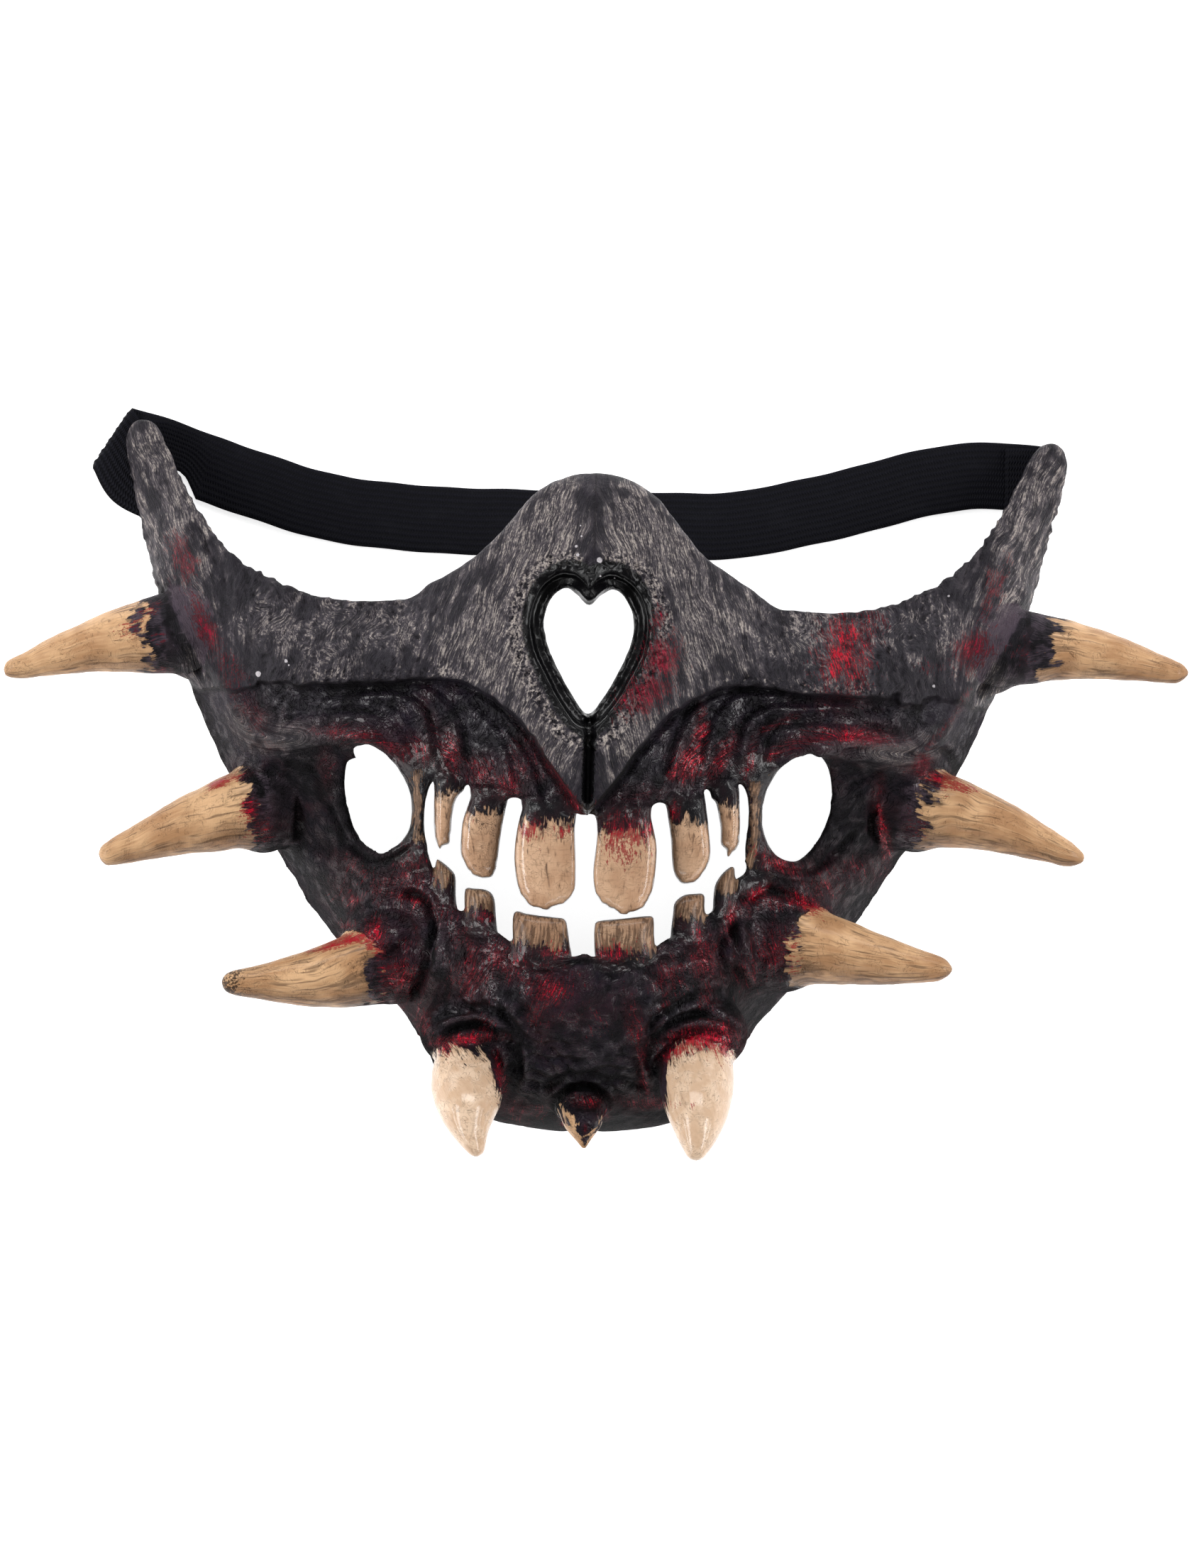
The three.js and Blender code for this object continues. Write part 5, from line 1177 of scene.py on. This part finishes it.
# streaky brown wash and painted shade on the side of each spike that faces down the mask
bone_c = n.mix(underside_wash_and_shade_a * n.step(streak_b * 0.6 + mid * 0.4 + near_root * 0.25, 0.46, 0.66) * 0.5, bone_c, rgb(88, 62, 46))
tip_dirt = n.step(fleck * 0.7 + mid * 0.3 + n.step(aged_a, 0.85, 0.95) * n.step(tone_a, 0.19, 0.05) * 0.20, 0.63, 0.69) * spiky * n.step(tone_a, 0.22, 0.12) * (1.0 - fangy)
bone_c = n.mix(tip_dirt * 0.85, bone_c, rgb(38, 28, 26))

lobe = n.noise(n.scaled(flow_s, 0.42, 0.22, 1.0, (6, 7, 3)), 1.0, 1, 0.5)
fringe = (lobe - 0.5) * n.lerp(spiky, 7.0, 13.0) + (edge_n - 0.5) * 7.0 + (fine - 0.5) * 2.5
on_bone = n.step(bone_a + fringe, -0.35, 0.55) * n.step(bone_a, -5.0, -4.0)
smear = n.step(bone_a + fringe * 1.5, 3.4, 0.4) * n.step(edge_n, 0.44, 0.56)
bone_c = n.mix(smear * 0.6, bone_c, rgb(46, 33, 30))
bone_c = n.mix(rimmed_a * (1.0 - spiky) * 0.9, bone_c, rgb(26, 18, 16))
col = n.mix(on_bone, paint, bone_c)

# red glaze
veil_r = n.step(mid * 0.4 + big * 0.4 + red_a * 0.35 + cav_a * 0.05, 0.38, 0.62) * gum_a * (1.0 - on_bone)
col = n.mix(veil_r * 0.40, col, rgb(56, 15, 22))
rub_r = strand * 0.45 + strand2 * 0.25 + fleck * 0.30
rsum = red_a + (rub_r - 0.5) * 3.4 + (mid - 0.5) * 0.7 + n.math("MINIMUM", cav_a, 0.8) * 0.08
r_on = n.step(rsum, 0.60, 0.76)
r_hot = n.step(rsum, 0.94, 1.16)
red_c = n.mix(r_hot, rgb(88, 18, 29), n.mix(n.math("MAXIMUM", horn_a * 0.75, (1.0 - wing_a) * grey_on * 0.72), rgb(198, 5, 42), rgb(126, 25, 52)))
red_c = n.mix(on_bone * 0.75, red_c, rgb(160, 12, 34))
red_c = n.mix(n.step(fine, 0.58, 0.74) * 0.25, red_c, rgb(150, 44, 66))
col = n.mix(r_on * n.lerp(r_hot, 0.78, 0.95), col, red_c)
col = n.mix(back_a, col, rgb(17, 16, 18))

rough = n.lerp(on_bone, 0.52 + (fine - 0.5) * 0.3, 0.42 + (fine - 0.5) * 0.15)
rough = n.lerp(n.math("MAXIMUM", painted_shade_steep_a, rimmed_a * gum_a) * (1.0 - on_bone), rough, 0.92)
rough = n.lerp(gloss_on, rough, 0.26)
coat = n.lerp(on_bone, n.lerp(lump, gum_a * n.step(mid + cav_a * 0.12, 0.46, 0.62) * 0.36 * (1.0 - painted_shade_steep_a * 0.8) * (1.0 - rimmed_a * 0.7) + gloss_on * 0.24, 0.40), n.lerp(fangy, n.lerp(spiky, 1.0, 0.12), 0.65) * (1.0 - low_t * 0.9))
coat = n.lerp(r_hot, coat, gum_a * 0.5)

crease_a = n.noise(n.scaled(bent, 0.34, 0.50, 0.4, (2, 2, 8)), 1.0, 2, 0.55)
crease_b = n.noise(n.scaled(bent, 0.80, 1.05, 0.6, (5, 3, 1)), 1.0, 1, 0.55)
creased = (n.step(n.math("ABSOLUTE", crease_a - 0.5), 0.030, 0.0) + n.step(n.math("ABSOLUTE", crease_b - 0.5), 0.035, 0.0) * 0.6) * gum_a
height_dark = brushed * (0.30 + crumb_a * 0.3) * n.step(gum_a, 0.6, 0.2) + (strand2 * 0.10 + fine * 0.25 + tiny * 0.08 + lines * gum_a * 0.25 - creased * 0.32) * (1.0 - lump * 0.8)
height_bone = streak_b * 0.22 + fine * 0.10 + tiny * 0.03 - thin * 0.12 + cross * 0.05
height = n.lerp(on_bone, height_dark * (1.0 - gloss_a * 0.85), height_bone) + on_bone * 0.05
bump = n.new("ShaderNodeBump")
bump.inputs["Strength"].default_value = 1.0
bump.inputs["Distance"].default_value = 0.0011
n.put(bump.inputs["Height"], height)
skin = n.new("ShaderNodeBump")                             # the clear coat fills the finest grain
skin.inputs["Strength"].default_value = 1.0
skin.inputs["Distance"].default_value = 0.0006
n.put(skin.inputs["Height"], n.lerp(on_bone, (mid * 0.36 + fine * 0.16 + creased * -0.26) * (1.0 - lump * 0.9) * (1.0 - gloss_a * 0.85), (streak_b * 0.05 + fine * 0.02) * (1.0 - fangy * 0.6)))

bsdf = n.new("ShaderNodeBsdfPrincipled")
n.put(bsdf.inputs["Base Color"], col)
n.put(bsdf.inputs["Roughness"], rough)
bsdf.inputs["Specular IOR Level"].default_value = 0.12
n.put(bsdf.inputs["Coat Weight"], coat)
bsdf.inputs["Coat Roughness"].default_value = 0.14
n.t.links.new(skin.outputs[0], bsdf.inputs["Coat Normal"])
n.t.links.new(bump.outputs[0], bsdf.inputs["Normal"])
out = n.new("ShaderNodeOutputMaterial")
n.t.links.new(bsdf.outputs[0], out.inputs[0])
mesh.materials.clear()
mesh.materials.append(n.mat)
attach(mask, "root")
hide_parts("mask_shell")

# ------------------------------------------------------------------ the elastic strap: one ribbed ribbon, turned over at both ends
BAND_LINE = [[-112, 75.9], [-104.2, 74.0], [-96.4, 71.9], [-87, 68.7], [-80, 66.3], [-65, 62], [-50, 59.4], [-30, 58.5], [0, 58.3], [27, 58.8], [40, 60.6],
             [55, 64.4], [70, 68.6], [80, 71], [87, 71.8], [94, 71.6], [103, 70.6], [108, 69.9]]
BAND_W, BAND_T, LIE = 15.0, 1.15, 0.64
mid_line = curve(BAND_LINE, 10)
seg = np.hypot(*np.diff(mid_line, axis=0).T)
cum = np.concatenate([[0], np.cumsum(seg)])
ext0, ext1 = 13.0, 7.0                                    # cloth beyond each end of the line
s_all = np.arange(-ext0, cum[-1] + ext1, 0.8)
sx = np.interp(s_all, cum, mid_line[:, 0])
sy = np.interp(s_all, cum, mid_line[:, 1])
d0, d1 = mid_line[0] - mid_line[3], mid_line[-1] - mid_line[-4]
d0, d1 = d0 / np.hypot(*d0), d1 / np.hypot(*d1)
b0, b1 = s_all < 0, s_all > cum[-1]
sx[b0] += d0[0] * -s_all[b0]
sy[b0] += d0[1] * -s_all[b0]
sx[b1] += d1[0] * (s_all[b1] - cum[-1])
sy[b1] += d1[1] * (s_all[b1] - cum[-1])
tx, ty = np.gradient(sx), np.gradient(sy)
tl = np.hypot(tx, ty)
nx_, ny_ = -ty / tl, tx / tl
ring = []                                                  # (across, up) round the cross-section, ribbed on both faces
K = 45
for i in range(K):
    w_ = -BAND_W / 2 + BAND_W * i / (K - 1)
    edge = math.sqrt(max(1 - (abs(w_) / (BAND_W / 2)) ** 8, 0.12))
    ring.append((w_, BAND_T / 2 * edge * (0.86 + 0.14 * math.cos(i * math.pi / 2))))
ring = ring + [(w_, -h) for w_, h in reversed(ring)]
folds = []
for low, high, out_ in (((-112.6, 68.4), (-104.2, 81.4), -1), ((101.6, 62.4), (102.6, 77.4), 1)):
    e = np.array(high) - np.array(low)
    e = e / np.hypot(*e)
    nn = np.array([e[1], -e[0]]) * out_
    folds.append((np.array(low), nn if (nn[0] * out_) > 0 else -nn))
dir0 = -np.array([tx[0], ty[0]]) / tl[0]                   # the way the left end runs on
low0, nn0 = folds[0]
slant = float(dir0 @ nn0)


def tail_reach(a):
    """Distance past the fold at the very end of a strand, as laid and as wanted: the turned ply ends askew under the horn."""
    p = np.array([sx[0] + nx_[0] * a, sy[0] + ny_[0] * a])
    wanted = (mix(17.0, 8.5, (a + 7.5) / 15)) * slant + math.pi * 0.66
    return wanted / float((p - low0) @ nn0)


verts = []
for i in range(len(s_all)):
    wob = 0.10 * math.sin(s_all[i] * 0.21) + 0.07 * math.sin(s_all[i] * 0.47 + 1.3)
    # gathered where it slips under the left horn
    tight = float(np.interp(sx[i], [-101.5, -99, -96, -94.3, -92.95, -91.1, -89.4, -87.6], [0, 4.4, 4.6, 4.6, 4.7, 3.9, 2.1, 0]))
    for a, h in ring:
        a = a + tight * (7.5 - a) / 15
        p = np.array([sx[i] + nx_[i] * (a + wob), sy[i] + ny_[i] * (a + wob)])
        zc = LIE
        r_ = 0.66
        q = float((p - low0) @ nn0)
        if q > 0:
            k_ = tail_reach(a)
            p = p + dir0 * (q * (k_ - 1) / slant)
        for low, nn in folds:
            q = float((p - low) @ nn)
            if q > 0:
                ang = min(q / r_, math.pi)
                rest = max(q - math.pi * r_, 0)
                p = p + nn * (-q + (r_ - h) * math.sin(ang) - rest)
                if low[0] < 0:
                    p = p + np.array([-0.68, -0.73]) * ((1.7 * math.sin(min(rest / 14, 1) * math.pi) - 0.15 * rest) * max(-a / 7.5, 0))
                zc = LIE + r_ - (r_ - h) * math.cos(ang)
                break
        else:
            zc = LIE + h
        verts.append((*p, zc))
verts = np.array(verts)
M = len(ring)
faces = []
for i in range(len(s_all) - 1):
    for k in range(M):
        faces.append((i * M + k, i * M + (k + 1) % M, (i + 1) * M + (k + 1) % M, (i + 1) * M + k))
faces.append(tuple(range(M))[::-1])
faces.append(tuple((len(s_all) - 1) * M + k for k in range(M)))
strap_mesh = bpy.data.meshes.new("elastic_band")
strap_mesh.from_pydata([tuple((p + SHIFT) / 1000) for p in verts], [], faces)
uv_along = np.repeat(s_all, M)
strap_mesh.attributes.new("weave", "FLOAT_VECTOR", "POINT").data.foreach_set(
    "vector", np.stack([np.tile([r[0] for r in ring], len(s_all)), uv_along, np.zeros(len(uv_along))], 1).astype(np.float32).ravel())
strap_mesh.update()
import bmesh
bm = bmesh.new()
bm.from_mesh(strap_mesh)
bmesh.ops.recalc_face_normals(bm, faces=bm.faces)
bm.to_mesh(strap_mesh)
bm.free()
strap_mesh.polygons.foreach_set("use_smooth", np.ones(len(strap_mesh.polygons), bool))
strap = bpy.data.objects.new("elastic_band", strap_mesh)
bpy.context.scene.collection.objects.link(strap)

n = Net("black_elastic")
wv = n.attr("weave", True)
sep = n.new("ShaderNodeSeparateXYZ")
n.put(sep.inputs[0], wv)
ax, al = Ex(n, sep.outputs[0]), Ex(n, sep.outputs[1])
rib = n.math("SINE", ax * (2 * math.pi / 1.36)) * 0.5 + 0.5
pick = n.math("SINE", al * (2 * math.pi / 0.62) + n.math("SINE", ax * (2 * math.pi / 1.36)) * 1.4) * 0.5 + 0.5
fuzz = n.noise(n.scaled(wv, 6, 3, 1), 1.0, 3, 0.6)
wear = n.noise(n.scaled(wv, 0.25, 0.10, 1), 1.0, 3)
colr = n.mix(n.step(rib * 0.45 + pick * 0.2 + fuzz * 0.55, 0.30, 1.05), rgb(13, 13, 18), rgb(24, 24, 32))
colr = n.mix(n.step(wear, 0.5, 0.8) * 0.5, colr, rgb(28, 28, 34))
bump = n.new("ShaderNodeBump")
bump.inputs["Distance"].default_value = 0.00016
n.put(bump.inputs["Height"], rib * 0.5 + pick * 0.6 + fuzz * 0.3)
bsdf = n.new("ShaderNodeBsdfPrincipled")
n.put(bsdf.inputs["Base Color"], colr)
n.put(bsdf.inputs["Roughness"], 0.70 + (fuzz - 0.5) * 0.2)
bsdf.inputs["Specular IOR Level"].default_value = 0.1
n.t.links.new(bump.outputs[0], bsdf.inputs["Normal"])
out = n.new("ShaderNodeOutputMaterial")
n.t.links.new(bsdf.outputs[0], out.inputs[0])
strap_mesh.materials.append(n.mat)
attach(strap, "root")
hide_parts("elastic_strap")

# ------------------------------------------------------------------ floor and light
floor_mesh = bpy.data.meshes.new("floor")
floor_mesh.from_pydata([(-3, -3, -0.0002), (3, -3, -0.0002), (3, 3, -0.0002), (-3, 3, -0.0002)], [], [(0, 1, 2, 3)])
floor = bpy.data.objects.new("floor", floor_mesh)
bpy.context.scene.collection.objects.link(floor)
n = Net("pale_floor")
bsdf = n.new("ShaderNodeBsdfPrincipled")
bsdf.inputs["Base Color"].default_value = (0.86, 0.86, 0.86, 1)
bsdf.inputs["Roughness"].default_value = 0.9
bsdf.inputs["Specular IOR Level"].default_value = 0.1
bsdf.inputs["Emission Color"].default_value = (1, 1, 1, 1)
bsdf.inputs["Emission Strength"].default_value = 0.8
out = n.new("ShaderNodeOutputMaterial")
n.t.links.new(bsdf.outputs[0], out.inputs[0])
floor_mesh.materials.append(n.mat)
floor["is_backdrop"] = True


def lamp(name, at, aim, size, watts, size_y=None):
    d = bpy.data.lights.new(name, "AREA")
    d.energy = watts
    d.size = size
    if size_y:
        d.shape, d.size_y = "RECTANGLE", size_y
    o = bpy.data.objects.new(name, d)
    o.location = at
    o.rotation_euler = (Vector(aim) - Vector(at)).to_track_quat("-Z", "Y").to_euler()
    bpy.context.scene.collection.objects.link(o)


lamp("side_left", (-1.15, 0.10, 0.85), (0, 0, 0.04), 1.1, 11.8, 0.34)
lamp("side_right", (1.15, 0.08, 0.85), (0, 0, 0.04), 1.1, 11.2, 0.34)
lamp("far_top", (0.0, 1.25, 0.80), (0, 0.02, 0.03), 1.3, 9.5, 0.30)
lamp("far_low", (0.05, -1.25, 0.75), (0, 0, 0.04), 1.0, 2.2, 0.25)
lamp("strip_left", (-1.22, -0.24, 0.40), (0, 0, 0.06), 0.9, 3.6, 0.10)
lamp("strip_right", (1.22, -0.24, 0.38), (0, 0, 0.06), 0.9, 2.4, 0.10)
world = bpy.data.worlds.new("world")
bpy.context.scene.world = world
world.use_nodes = True
world.node_tree.nodes["Background"].inputs[0].default_value = (1, 1, 1, 1)
world.node_tree.nodes["Background"].inputs[1].default_value = 0.11
bpy.context.scene.view_settings.view_transform = "Standard"

low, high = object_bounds()
